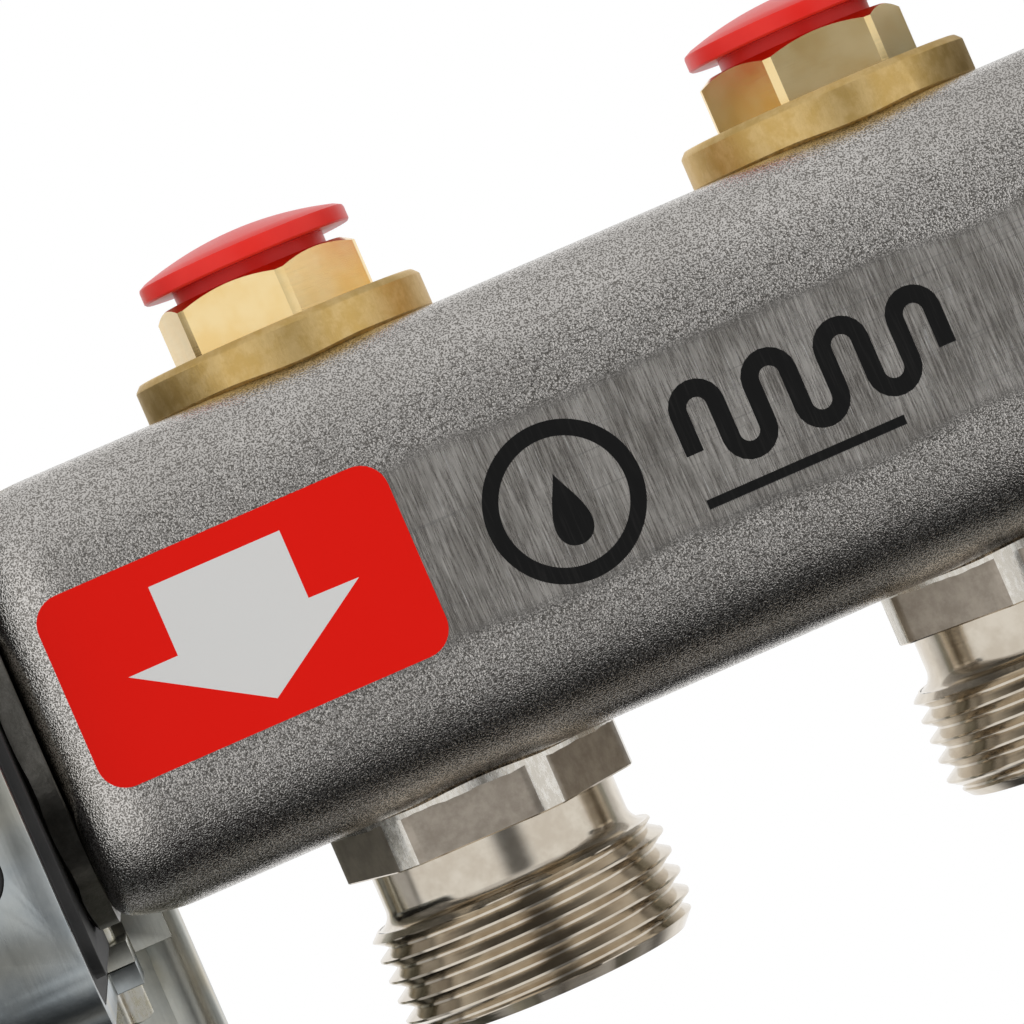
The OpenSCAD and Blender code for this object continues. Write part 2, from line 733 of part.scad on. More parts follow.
// split rubber ring: round inside for the sleeve, square outside for strap and saddle
module rubber(line, side) {
    inner = insert_r - strap_t - 0.05;
    lip_w = strap_w + 2 * insert_lip;
    color([0.09, 0.09, 0.09])
    at_clamp(line, side)
    difference() {
        union() {
            rotate([90, 0, 90]) {
                translate([0, 0, -lip_w / 2])
                    linear_extrude(lip_w) {
                        round_rect(2 * inner, 2 * inner, strap_bend);
                        translate([0, -inner + strap_bend])
                            square([insert_r - 0.05, 2 * (inner - strap_bend)]);
                    }
                translate([0, 0, -strap_w / 2])
                    linear_extrude(strap_w)
                        intersection() {
                            round_rect(2 * insert_r - 0.1, 2 * insert_r - 0.1, strap_bend);
                            translate([-insert_r, -insert_r])
                                square([2 * insert_r - ear_l - 0.1, 2 * insert_r]);
                        }
            }
            plug_slots(strap_t - 0.5, 0.05);
        }
        rotate([0, 90, 0]) cylinder(r = sleeve_r, h = 2 * lip_w, center = true);
        translate([-lip_w, sleeve_r - 2, -0.5]) cube([2 * lip_w, insert_r, 1]);
        for (x = [-ear_x, ear_x])
            for (z = [-1, 1])
                translate([x, insert_r - ear_l / 2, z * (insert_r - strap_t)])
                    cylinder(r = bolt_head + 0.3, h = 2 * head_h + 0.6, center = true);
        for (z = [-1, 1])
            translate([0, insert_r + 1, z * stud_z])
                rotate([90, 0, 0]) cylinder(r = stud_head + 0.3, h = stud_h + 1.3);
    }
}

// saddle behind an end: base against the rail, two legs inside the strap's ears
module saddle(line, side) {
    off = line == "supply" ? 0 : return_offset;
    w = ear_w;
    leg_h = insert_r - 0.05;
    color([0.62, 0.63, 0.60])
    at_clamp(line, side)
    difference() {
        union() {
            for (s = [-1, 1])
                translate([-w / 2, insert_r - ear_l, s > 0 ? leg_h - strap_t : -leg_h])
                    cube([w, ear_l + strap_t + off, strap_t]);
            translate([-saddle_w / 2, insert_r + off, -leg_h]) cube([saddle_w, strap_t, 2 * leg_h]);
            if (off > 0) translate([-w / 2, insert_r, -leg_h]) cube([w, strap_t, 2 * leg_h]);
        }
        for (x = [-ear_x, ear_x])
            translate([x, insert_r - ear_l / 2, -strap_out - 1])
                cylinder(r = bolt_r + 0.25, h = 2 * strap_out + 2);
        for (z = [-1, 1])
            translate([0, insert_r + off - 1, z * stud_z]) rotate([-90, 0, 0])
                cylinder(r = stud_r + 0.25, h = strap_t + 2);
    }
}

// places one fastener of each clamp with +Z pointing out of the row's ear
module at_ears() {
    for (l = LINES)
        for (s = SIDES)
            for (x = [-ear_x, ear_x])
                for (z = [-1, 1])
                    at_clamp(l, s)
                        translate([x, insert_r - ear_l / 2, z * strap_out])
                            if (z > 0) children();
                            else mirror([0, 0, 1]) children();
}

module clamp_bolts() {
    color([0.75, 0.74, 0.68])
    at_ears() {
        translate([0, 0, -2 * strap_t - 0.05]) cylinder(r = bolt_r, h = 2 * strap_t + 0.05 + nut_h + 1);
        translate([0, 0, -2 * strap_t - 0.05 - head_h]) cylinder(r = bolt_head, h = head_h);
    }
}

module clamp_nuts() {
    color([0.75, 0.74, 0.68])
    at_ears()
    difference() {
        hex_bar(bolt_af, nut_h, 0.1, 1);
        translate([0, 0, -1]) cylinder(r = bolt_r, h = nut_h + 2);
    }
}

module at_studs() {
    for (l = LINES)
        for (s = SIDES)
            for (z = [-1, 1])
                at_clamp(l, s)
                    translate([0, insert_r + (l == "supply" ? 0 : return_offset), z * stud_z])
                        rotate([90, 0, 0]) children();
}

// hexagonal head in front of the saddle's base, shank back into the rail
module saddle_bolts() {
    color([0.75, 0.74, 0.68])
    at_studs() {
        cylinder(r = stud_head, h = stud_h);
        translate([0, 0, -strap_t - stud_l]) cylinder(r = stud_r, h = strap_t + stud_l + EPS);
    }
}

// plate nuts that bear on the inside of the rail's lips
module saddle_nuts() {
    color([0.62, 0.63, 0.60])
    at_studs()
    difference() {
        translate([-plate_half, -6, -strap_t - rail_t - plate_t]) cube([2 * plate_half, 12, plate_t]);
        translate([0, 0, -strap_t - rail_t - plate_t - 1]) cylinder(r = stud_r, h = plate_t + 2);
    }
}

// ---------- nodes ----------

bar("supply");  // supply_bar
bar("return");  // return_bar
for (l = LINES)
    for (s = SIDES) {
        end_socket(l, s);
        strap(l, s);
        rubber(l, s);
        saddle(l, s);
    }
for (i = [1:circuits]) {
    supply_valve_body(i);
    supply_spindle(i);
    supply_cone(i);
    supply_cone_washer(i);
    supply_cap(i);
    return_valve_body(i);
    return_pin(i);
    return_disc_washer(i);
    return_spring(i);
    return_hand_cap(i);
    for (l = LINES)
        outlet(l, i);
}
valve_seals();
outlet_seals();
sticker("supply");  // supply_sticker
sticker("return");  // return_sticker
end_plug("supply", vent_r);  // supply_end_plug
end_plug("return", 6);  // return_end_plug
end_plug_gaskets();
air_vent_screw();
drain_cock();
drain_spindle();
drain_cap();
for (s = SIDES)
    rail(s);
clamp_bolts();
clamp_nuts();
saddle_bolts();
saddle_nuts();
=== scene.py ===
# Underfloor heating manifold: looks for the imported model. Sizes are in millimetres in the settings and in
# metres in the meshes. Each piece is built about its own axis and then set where the frame says.
import math
import bmesh
import bpy
from mathutils import Matrix, Vector


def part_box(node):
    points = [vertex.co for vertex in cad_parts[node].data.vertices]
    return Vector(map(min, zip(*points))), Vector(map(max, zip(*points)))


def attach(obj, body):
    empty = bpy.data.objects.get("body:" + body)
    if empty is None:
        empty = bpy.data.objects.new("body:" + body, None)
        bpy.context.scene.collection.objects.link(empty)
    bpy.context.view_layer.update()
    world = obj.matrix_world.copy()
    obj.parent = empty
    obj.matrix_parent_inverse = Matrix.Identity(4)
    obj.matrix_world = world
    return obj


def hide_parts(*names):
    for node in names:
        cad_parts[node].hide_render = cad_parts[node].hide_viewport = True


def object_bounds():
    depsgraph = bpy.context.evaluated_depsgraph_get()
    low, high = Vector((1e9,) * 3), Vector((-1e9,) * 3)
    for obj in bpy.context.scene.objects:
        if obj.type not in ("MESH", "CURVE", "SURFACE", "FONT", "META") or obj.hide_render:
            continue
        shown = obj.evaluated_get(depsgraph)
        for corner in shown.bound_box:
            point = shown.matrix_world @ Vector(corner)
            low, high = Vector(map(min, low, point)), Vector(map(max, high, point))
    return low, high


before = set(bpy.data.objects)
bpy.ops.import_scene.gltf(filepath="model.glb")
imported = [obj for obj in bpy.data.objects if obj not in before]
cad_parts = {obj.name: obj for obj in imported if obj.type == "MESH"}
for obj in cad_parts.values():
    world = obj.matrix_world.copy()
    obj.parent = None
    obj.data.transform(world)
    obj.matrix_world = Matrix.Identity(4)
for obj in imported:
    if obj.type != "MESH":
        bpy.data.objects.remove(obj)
cadLow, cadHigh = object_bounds()
root = "manifold"
lines = ("supply", "return")
sides = ("left", "right")
circuits = (1, 2)
tau = 2 * math.pi
circuitStep = abs(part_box("supply_valve_body_1")[0].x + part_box("supply_valve_body_1")[1].x) / 2
supplyDeep, returnDeep = (sum(corner.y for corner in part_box(line + "_bar")) / 2 for line in lines)
print("frame loaded:", len(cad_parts), "nodes")


# ---- node trees written as Python expressions ----

class Value:
    # wraps one output socket, so that sums and products on it add Math nodes
    def __init__(self, tree, socket):
        self.tree, self.socket = tree, socket

    def math(self, operation, *values):
        return self.tree.add("ShaderNodeMath", {"operation": operation}, dict(enumerate(values)))

    def __add__(self, other):
        return self.math("ADD", self, other)

    def __sub__(self, other):
        return self.math("SUBTRACT", self, other)

    def __rsub__(self, other):
        return self.math("SUBTRACT", other, self)

    def __mul__(self, other):
        return self.math("MULTIPLY", self, other)

    def __truediv__(self, other):
        return self.math("DIVIDE", self, other)

    def __pow__(self, other):
        return self.math("POWER", self, other)

    def __abs__(self):
        return self.math("ABSOLUTE", self)

    __radd__ = __add__
    __rmul__ = __mul__

    def least(self, other):
        return self.math("MINIMUM", self, other)

    def most(self, other):
        return self.math("MAXIMUM", self, other)

    def step(self, start, end, low=0.0, high=1.0):
        # smooth step from low at start to high at end
        settings = {"interpolation_type": "SMOOTHSTEP"}
        names = ("Value", "From Min", "From Max", "To Min", "To Max")
        return self.tree.add("ShaderNodeMapRange", settings, dict(zip(names, (self, start, end, low, high))))


class Tree:
    # one method makes any node: its settings first, then the values or links of its sockets
    def __init__(self, tree):
        self.tree = tree

    def add(self, kind, settings=None, values=None, output=0):
        node = self.tree.nodes.new(kind)
        for name, setting in (settings or {}).items():
            setattr(node, name, setting)
        for name, value in (values or {}).items():
            if isinstance(value, Value):
                self.tree.links.new(value.socket, node.inputs[name])
            else:
                node.inputs[name].default_value = value
        return Value(self, node.outputs[output])

    def vector(self, operation, *values, output=0):
        return self.add("ShaderNodeVectorMath", {"operation": operation}, dict(enumerate(values)), output)

    def mix(self, share, first, second):
        # colours are sockets or three numbers
        first, second = (v if isinstance(v, Value) else (*v, 1) for v in (first, second))
        return self.add("ShaderNodeMix", {"data_type": "RGBA"}, {0: share, 6: first, 7: second}, 2)


class Surface(Tree):
    # a Principled material on Object coordinates, with shorthands for noise and bump
    def __init__(self, name, **constants):
        self.material = bpy.data.materials.new(name)
        self.material.use_nodes = True
        super().__init__(self.material.node_tree)
        self.shader = self.tree.nodes["Principled BSDF"]
        for key, value in constants.items():
            self.shader.inputs[key.replace("_", " ")].default_value = value
        self.place = self.add("ShaderNodeTexCoord", output=3)
        axes = self.tree.nodes.new("ShaderNodeSeparateXYZ")
        self.tree.links.new(self.place.socket, axes.inputs[0])
        self.x, self.y, self.z = (Value(self, socket) for socket in axes.outputs)

    def noise(self, size, stretch=(1, 1, 1), detail=2.0, rough=0.5, place=None, shift=0.0):
        # size is the width of a grain in millimetres, longer along an axis by its stretch
        scale = tuple(1000 / size / s for s in stretch)
        spread = self.vector("MULTIPLY", place or self.place, scale)
        if shift:
            spread = self.vector("ADD", spread, (shift, shift * 1.7, shift * 0.6))
        values = {"Vector": spread, "Scale": 1.0, "Detail": detail, "Roughness": rough}
        return self.add("ShaderNodeTexNoise", {"normalize": True}, values)

    def triple(self, *parts):
        return self.add("ShaderNodeCombineXYZ", {}, dict(enumerate(parts)))

    def blendVectors(self, share, first, second):
        # share 0 gives the first
        apart = self.vector("SUBTRACT", second, first)
        moved = self.add("ShaderNodeVectorMath", {"operation": "SCALE"}, {0: apart, "Scale": share})
        return self.vector("ADD", first, moved)

    def away(self):
        # distance from the nearest circuit's upright axis
        side = abs(self.x) - circuitStep
        deep = self.y - (self.z.step(-0.01, 0.01) * (supplyDeep - returnDeep) + returnDeep)
        return (side * side + deep * deep) ** 0.5

    def bump(self, height, depth, strength=1.0, under=None):
        # depth in millimetres
        values = {"Height": height, "Distance": depth / 1000, "Strength": strength}
        if under:
            values["Normal"] = under
        return self.add("ShaderNodeBump", {}, values)

    def feed(self, **links):
        for key, value in links.items():
            self.tree.links.new(value.socket, self.shader.inputs[key.replace("_", " ")])
        return self.material


# ---- meshes ----

def newObject(name, verts, faces):
    mesh = bpy.data.meshes.new(name)
    mesh.from_pydata([tuple(v) for v in verts], [], faces)
    piece = bpy.data.objects.new(name, mesh)
    bpy.context.scene.collection.objects.link(piece)
    return piece


def weld(mesh, reach=1e-4, outward=True):
    work = bmesh.new()
    work.from_mesh(mesh)
    bmesh.ops.remove_doubles(work, verts=work.verts, dist=reach)
    bmesh.ops.dissolve_degenerate(work, edges=work.edges, dist=reach)
    if outward:
        bmesh.ops.recalc_face_normals(work, faces=work.faces)
    work.to_mesh(mesh)
    work.free()


def join(name, pieces):
    # one object from several, keeping each one's materials
    target = pieces[0]
    with bpy.context.temp_override(active_object=target, selected_editable_objects=pieces):
        bpy.ops.object.join()
    target.name = name
    target.data.name = name
    return target


def closeRing(piece):
    # joins the first and last row of a turned piece by their matching places
    weld(piece.data, 1e-3)
    work = bmesh.new()
    work.from_mesh(piece.data)
    boundary = [edge for edge in work.edges if edge.is_boundary]
    if boundary:
        bmesh.ops.bridge_loops(work, edges=boundary)
    bmesh.ops.recalc_face_normals(work, faces=work.faces)
    work.to_mesh(piece.data)
    work.free()


def outwardFaces(piece):
    work = bmesh.new()
    work.from_mesh(piece.data)
    bmesh.ops.recalc_face_normals(work, faces=work.faces)
    work.to_mesh(piece.data)
    work.free()


def settle(piece, matrix):
    # from the piece's own millimetres to the frame
    piece.data.transform(matrix @ Matrix.Scale(0.001, 4))
    return piece


def smooth(piece, sharp=32):
    piece.data.shade_smooth()
    piece.data.set_sharp_from_angle(angle=math.radians(sharp))


def softEdges(piece, width, angle=30, segments=2):
    # bevel in millimetres
    bevel = piece.modifiers.new("softEdges", "BEVEL")
    bevel.width = width / 1000
    bevel.segments = segments
    bevel.limit_method = "ANGLE"
    bevel.angle_limit = math.radians(angle)
    bevel.harden_normals = True
    bevel.miter_outer = "MITER_ARC"
    piece.data.shade_smooth()


def finished(piece, body, material, nodes=()):
    if material:
        piece.data.materials.clear()
        piece.data.materials.append(material)
    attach(piece, body)
    if nodes:
        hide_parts(*nodes)
    return piece


def turned(name, rows, columns=96):
    # rows run from the outside of one end to the other; a row is (radius, height), or a function of the angle
    angles = [tau * k / columns for k in range(columns)] if isinstance(columns, int) else columns
    verts = []
    for row in rows:
        for angle in angles:
            radius, height = row(angle) if callable(row) else row
            verts.append((radius * math.cos(angle), radius * math.sin(angle), height))
    count = len(angles)
    faces = []
    for r in range(len(rows) - 1):
        for c in range(count):
            following = (c + 1) % count
            here, above = r * count, (r + 1) * count
            faces.append((here + c, here + following, above + following, above + c))
    return newObject(name, verts, faces)


def eased(points, reach, steps=4):
    # rounds the corners of a (radius, height) outline; reach is how far each arc eats into its sides
    out = [points[0]]
    for before, corner, after in zip(points, points[1:], points[2:]):
        back, ahead = Vector(before) - Vector(corner), Vector(after) - Vector(corner)
        cut = min(reach, back.length * 0.45, ahead.length * 0.45)
        start, end = Vector(corner) + back.normalized() * cut, Vector(corner) + ahead.normalized() * cut
        for k in range(steps + 1):
            t = k / steps
            out.append(tuple(start * (1 - t) ** 2 + Vector(corner) * 2 * t * (1 - t) + end * t * t))
    return out + [points[-1]]


def polygonColumns(flatRadius, edgeRadius, turn, count=6, steps=10):
    # angles for a prism whose corners are cut back to edgeRadius, dense enough for its curved chamfers
    half = math.acos(min(1, flatRadius / edgeRadius))
    gap = tau / count / 2
    angles = []
    for face in range(count):
        middle = turn + gap + face * tau / count
        angles += [middle - half + 2 * half * k / steps for k in range(steps + 1)]
        angles += [middle + half + 2 * (gap - half) * k / 3 for k in (1, 2)]
    return angles


def polygonRadius(angle, flatRadius, edgeRadius, turn, count=6):
    gap = tau / count
    off = (angle - turn) % gap - gap / 2
    return min(edgeRadius, flatRadius / math.cos(off))


def hexagon(name, size, holeRadius, low, high, turn, lowChamfer=0.0):
    # wrench faces on a round blank: corners left round, thirty-degree chamfer on top
    count = size.get("count", 6)
    flat = size["af"] / 2
    edge = flat / math.cos(tau / count / 2) - size["cut"]
    rim = flat * 0.985
    slope = math.tan(math.radians(30))

    def side(angle):
        return polygonRadius(angle, flat, edge, turn, count)

    rows = [
        (holeRadius, low),
        lambda a: (side(a) - lowChamfer, low),
        lambda a: (side(a), low + lowChamfer * slope),
        lambda a: (side(a), high - (side(a) - rim) * slope),
        (rim, high),
        (holeRadius, high),
    ]
    return turned(name, rows, polygonColumns(flat, edge, turn, count))


def filled(outline, holes, lift):
    # flat sheet with holes; lift puts a flat point into space
    work = bmesh.new()
    for loop in [outline, *holes]:
        verts = [work.verts.new((u, v, 0)) for u, v in loop]
        for k in range(len(verts)):
            work.edges.new((verts[k - 1], verts[k]))
    bmesh.ops.triangle_fill(work, edges=work.edges, use_beauty=True, use_dissolve=False)
    verts = [lift(v.co.x, v.co.y) for v in work.verts]
    faces = [[v.index for v in f.verts] for f in work.faces]
    work.free()
    return verts, faces


def roundedBox(halfWide, halfHigh, radius, steps=8):
    points = []
    for k, (sx, sy) in enumerate(((1, 1), (-1, 1), (-1, -1), (1, -1))):
        for j in range(steps + 1):
            angle = tau / 4 * (k + j / steps)
            points.append((sx * (halfWide - radius) + radius * math.cos(angle),
                           sy * (halfHigh - radius) + radius * math.sin(angle)))
    return points


# ---- geometry nodes ----

def group(name, sockets):
    tree = bpy.data.node_groups.new(name, "GeometryNodeTree")
    tree.interface.new_socket("Geometry", in_out="INPUT", socket_type="NodeSocketGeometry")
    for label, kind, default in sockets:
        made = tree.interface.new_socket(label, in_out="INPUT", socket_type="NodeSocket" + kind)
        if default is not None:
            made.default_value = default
    tree.interface.new_socket("Geometry", in_out="OUTPUT", socket_type="NodeSocketGeometry")
    entry = tree.nodes.new("NodeGroupInput")
    maker = Tree(tree)
    given = {socket.name: Value(maker, socket) for socket in entry.outputs if socket.name}
    return tree, maker, given


def closeGroup(tree, maker, geometry, material):
    real = maker.add("GeometryNodeRealizeInstances", {}, {"Geometry": geometry})
    painted = maker.add("GeometryNodeSetMaterial", {}, {"Geometry": real, "Material": material})
    end = tree.nodes.new("NodeGroupOutput")
    tree.links.new(painted.socket, end.inputs[0])
    return tree


def threadGroup():
    # a grid whose rows follow the helix, wrapped round the axis; sizes are in millimetres
    sockets = [("Radius", "Float", 13.1), ("Depth", "Float", 1.0), ("Pitch", "Float", 1.8),
               ("Low", "Float", 0.0), ("High", "Float", 10.0), ("Start", "Float", 0.0),
               ("Taper", "Float", 1.4), ("Crest", "Float", 0.15),
               ("Rows", "Int", 120), ("Columns", "Int", 128), ("Per Turn", "Float", 16.0),
               ("Material", "Material", None)]
    tree, maker, given = group("screwThread", sockets)
    columns, rows = given["Columns"], given["Rows"]
    spread = {"Size X": 1.0, "Size Y": 1.0, "Vertices X": columns + 1, "Vertices Y": rows}
    grid = maker.add("GeometryNodeMeshGrid", {}, spread)
    index = maker.add("GeometryNodeInputIndex")
    column = index.math("FLOOR", index / rows)
    row = index - column * rows
    turn = column / columns
    climb = given["Start"] + (row / given["Per Turn"] + turn) * given["Pitch"]
    height = climb.most(given["Low"]).least(given["High"])
    phase = (row / given["Per Turn"]).math("FRACT", row / given["Per Turn"])
    wave = abs(phase * 2 - 1)
    crest = given["Crest"]
    groove = ((wave - crest) / (1 - 2 * crest)).least(1.0).most(0.0)
    lead = (height - given["Low"]) * 0.9 + (given["Radius"] - given["Taper"])
    tail = (given["High"] - height) * 1.1 + (given["Radius"] - given["Taper"] * 0.5)
    radius = (given["Radius"] - given["Depth"] * groove).least(lead).least(tail)
    angle = turn * tau
    spot = maker.add("ShaderNodeCombineXYZ", {}, {0: radius * angle.math("COSINE", angle),
                                                  1: radius * angle.math("SINE", angle), 2: height})
    moved = maker.add("GeometryNodeSetPosition", {}, {"Geometry": grid, "Position": spot})
    closed = maker.add("GeometryNodeMergeByDistance", {}, {"Geometry": moved, "Distance": 0.001})
    return closeGroup(tree, maker, closed, given["Material"])


def scatterGroup():
    # copies of one model on a list of points, each turned by the point's own attribute
    sockets = [("Model", "Object", None), ("Material", "Material", None)]
    tree, maker, given = group("fasteners", sockets)
    model = maker.add("GeometryNodeObjectInfo", {}, {"Object": given["Model"]}, "Geometry")
    spots = maker.add("GeometryNodeMeshToPoints", {}, {"Mesh": given["Geometry"]})
    turn = maker.add("GeometryNodeInputNamedAttribute", {"data_type": "FLOAT_VECTOR"}, {"Name": "turn"})
    placed = {"Points": spots, "Instance": model, "Rotation": turn}
    copies = maker.add("GeometryNodeInstanceOnPoints", {}, placed)
    return closeGroup(tree, maker, copies, given["Material"])


def grown(piece, tree, values):
    # runs a group on a piece, keeps the result as a plain mesh and drops the modifier
    modifier = piece.modifiers.new(tree.name, "NODES")
    modifier.node_group = tree
    for item in tree.interface.items_tree:
        if item.in_out == "INPUT" and item.name in values:
            modifier[item.identifier] = values[item.name]
    made = bpy.data.meshes.new_from_object(piece.evaluated_get(bpy.context.evaluated_depsgraph_get()))
    piece.modifiers.clear()
    piece.data = made
    return piece


screwThread = threadGroup()
fastenerSpread = scatterGroup()


def threaded(name, size, low, high, material, inside=False):
    perTurn = size.get("perTurn", 16)
    turns = math.ceil((high - low) / size["pitch"]) + 2
    values = {"Radius": size["radius"], "Depth": size["depth"], "Pitch": size["pitch"],
              "Low": low, "High": high,
              "Start": low - size["pitch"] * (1 + size.get("phase", 0)), "Taper": size["taper"],
              "Crest": size["crest"], "Rows": turns * perTurn + 1, "Columns": size.get("columns", 128),
              "Per Turn": float(perTurn), "Material": material}
    piece = grown(newObject(name, [(0, 0, 0)], []), screwThread, values)
    weld(piece.data, 1e-3, outward=False)
    outwards = sum(f.normal.x * f.center.x + f.normal.y * f.center.y for f in piece.data.polygons)
    if (outwards < 0) != inside:
        piece.data.flip_normals()
    return piece


def merged(node, name, width=0.3, segments=2, angle=32):
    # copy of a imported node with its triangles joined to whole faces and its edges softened
    piece = bpy.data.objects.new(name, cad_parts[node].data.copy())
    bpy.context.scene.collection.objects.link(piece)
    work = bmesh.new()
    work.from_mesh(piece.data)
    bmesh.ops.remove_doubles(work, verts=work.verts, dist=2e-6)
    bmesh.ops.dissolve_limit(work, angle_limit=math.radians(0.4), verts=work.verts, edges=work.edges)
    work.to_mesh(piece.data)
    work.free()
    if width:
        softEdges(piece, width, angle, segments)
    return piece


# ---- where things are ----

def middle(node):
    low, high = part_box(node)
    return (low + high) / 2


barMiddle = {line: middle(line + "_bar") for line in lines}
circuitX = {i: middle(f"supply_valve_body_{i}").x for i in circuits}
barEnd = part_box("supply_bar")[1].x


def onLine(line, x=0.0):
    return Matrix.Translation((x, barMiddle[line].y, barMiddle[line].z))


def onEnd(line, side):
    # +Z of the piece runs out of the bar
    way = 1 if side == "right" else -1
    return onLine(line, way * barEnd) @ Matrix.Rotation(way * tau / 4, 4, "Y")


# ---- finishes ----

def steelBar():
    # rolled stainless tube: fine orange-peel grain, belt-ground along the middle of its flats
    s = Surface("steelBar", Metallic=1.0)
    height = abs(s.z) - 0.1
    wander = s.noise(5.0, stretch=(2, 1, 1), detail=3.0) - 0.5
    ground = 1 - (abs(height) * 1000 + wander * 2.6).step(6.4, 8.2)
    ground = ground * (1 - (abs(s.x) * 1000 + wander * 8).step(46, 53))
    grain = s.noise(0.135, detail=1.0, rough=0.5)
    specks = grain.step(0.40, 0.58)
    coarse = s.noise(2.6, detail=2.0)
    brush = s.noise(0.13, stretch=(1, 6, 22), detail=3.0, rough=0.7)
    patches = s.noise(3.2, stretch=(1, 1, 2.4), detail=3.0, rough=0.6)
    scratches = s.noise(0.10, stretch=(1.2, 4, 34), detail=1.0, shift=7.0).step(0.66, 0.76)
    lines = s.noise(0.20, stretch=(150, 1, 1), detail=1.0).step(0.64, 0.74)
    blotch = s.noise(9.0, stretch=(1.6, 1, 1), detail=4.0, rough=0.6)
    colour = s.mix(blotch.step(0.3, 0.7), (0.74, 0.71, 0.675), (0.84, 0.81, 0.775))
    colour = s.mix(specks, (0.25, 0.235, 0.215), colour)
    worn = s.mix((brush * 0.6 + patches * 0.4).step(0.36, 0.64), (0.30, 0.28, 0.255), (0.68, 0.65, 0.61))
    worn = s.mix(scratches * 0.7, worn, (0.92, 0.91, 0.89))
    worn = s.mix(lines * 0.45, worn, (0.30, 0.29, 0.28))
    colour = s.mix(ground, colour, worn)
    roughness = ground * 0.15 + 0.135 + (blotch - 0.5) * 0.10 + (brush - 0.5) * ground * 0.3
    peel = s.bump(grain, 0.045, 1.0)
    peel = s.bump(coarse, 0.03, 1.0, under=peel)
    milled = s.bump(brush * 0.8 + patches * 0.6, 0.020)
    smoothed = s.vector("NORMALIZE", s.blendVectors(ground, peel, milled))
    return s.feed(Base_Color=colour, Roughness=roughness, Normal=smoothed)


def brassTurned():
    # flange of hot-pressed brass: dull side with upright tool marks, ringed face
    s = Surface("brassTurned", Metallic=1.0)
    radius = s.away()
    rings = s.noise(0.09, stretch=(400, 400, 1), place=s.triple(radius, 0.0, 0.0), detail=2.0)
    marks = s.noise(0.4, stretch=(1, 1, 3), detail=4.0, rough=0.75)
    blotch = s.noise(2.2, detail=5.0, rough=0.7)
    side = (radius * 1000).step(12.3, 12.6)
    colour = s.mix(blotch.step(0.38, 0.62), (0.68, 0.455, 0.155), (0.80, 0.58, 0.26))
    colour = s.mix(side * marks.step(0.35, 0.75) * 0.5, colour, (0.66, 0.45, 0.17))
    roughness = side * 0.20 + 0.24 + (blotch - 0.5) * 0.16
    bump = s.bump(rings * (1 - side) + marks * side * 3.0, 0.008)
    bump = s.bump(s.noise(0.3, detail=2.0), 0.008, under=bump)
    return s.feed(Base_Color=colour, Roughness=roughness, Normal=bump)


def brassBright():
    # machined hexagon: clean bright flats with faint cutter lines
    s = Surface("brassBright", Metallic=1.0)
    marks = s.noise(0.12, stretch=(30, 30, 1), detail=2.0)
    blotch = s.noise(3.0, detail=3.0)
    colour = s.mix(blotch.step(0.3, 0.7), (0.93, 0.665, 0.29), (0.98, 0.76, 0.40))
    roughness = (blotch - 0.5) * 0.12 + 0.21 + (marks - 0.5) * 0.08
    return s.feed(Base_Color=colour, Roughness=roughness, Normal=s.bump(marks, 0.004))


def nickelTurned():
    # plated brass straight off the lathe: turning lines round the axis
    s = Surface("nickelTurned", Metallic=1.0)
    turns = s.noise(0.10, stretch=(90, 90, 1), detail=2.0, rough=0.6)
    wide = s.noise(0.5, stretch=(30, 30, 1), detail=1.0)
    cloud = s.noise(2.5, detail=4.0, rough=0.6)
    colour = s.mix(cloud.step(0.3, 0.7), (0.60, 0.53, 0.435), (0.72, 0.655, 0.555))
    roughness = (cloud - 0.5) * 0.10 + 0.14 + (turns - 0.5) * 0.08
    bump = s.bump(turns * 0.6 + wide * 0.6, 0.006)
    return s.feed(Base_Color=colour, Roughness=roughness, Normal=bump)


def nickelMilled():
    # collar flats: dull plate over horizontal cutter lines
    s = Surface("nickelMilled", Metallic=1.0)
    cuts = s.noise(0.07, stretch=(50, 50, 1), detail=3.0, rough=0.7)
    cloud = s.noise(1.6, detail=4.0, rough=0.65)
    colour = s.mix(cloud.step(0.3, 0.7), (0.33, 0.285, 0.235), (0.46, 0.405, 0.34))
    roughness = (cuts - 0.5) * 0.2 + 0.36 + (cloud - 0.5) * 0.12
    return s.feed(Base_Color=colour, Roughness=roughness, Normal=s.bump(cuts, 0.012))


def nickelScraped():
    # round strips left between the milled flats: bright, scuffed by the cutter
    s = Surface("nickelScraped", Metallic=1.0)
    scuff = s.noise(0.5, stretch=(1, 1, 2), detail=4.0, rough=0.7)
    colour = s.mix(scuff.step(0.4, 0.65), (0.66, 0.62, 0.55), (0.84, 0.81, 0.75))
    roughness = scuff * 0.25 + 0.14
    return s.feed(Base_Color=colour, Roughness=roughness, Normal=s.bump(scuff, 0.02))


def zincSheet(name, bright, tint, warm):
    # electroplated sheet with drawn lines along its length and a mottled passivation
    s = Surface(name, Metallic=1.0)
    drawn = s.noise(0.25, stretch=(1, 1, 40), detail=3.0, rough=0.6)
    cloud = s.noise(6.0, detail=5.0, rough=0.62)
    fine = s.noise(0.6, detail=3.0, rough=0.7)
    colour = s.mix(cloud.step(0.32, 0.68), tint, bright)
    colour = s.mix(s.noise(11.0, detail=2.0, shift=31.0).step(0.5, 0.72) * 0.7, colour, warm)
    roughness = (cloud - 0.5) * 0.2 + 0.33 + (drawn - 0.5) * 0.1
    bump = s.bump(drawn * 0.5 + fine * 0.8, 0.012)
    return s.feed(Base_Color=colour, Roughness=roughness, Normal=bump)


def fastenerZinc():
    s = Surface("fastenerZinc", Metallic=1.0)
    cloud = s.noise(1.2, detail=4.0, rough=0.6)
    colour = s.mix(cloud.step(0.3, 0.7), (0.60, 0.56, 0.42), (0.74, 0.73, 0.68))
    roughness = (cloud - 0.5) * 0.2 + 0.28
    return s.feed(Base_Color=colour, Roughness=roughness, Normal=s.bump(s.noise(0.3, detail=3.0), 0.008))


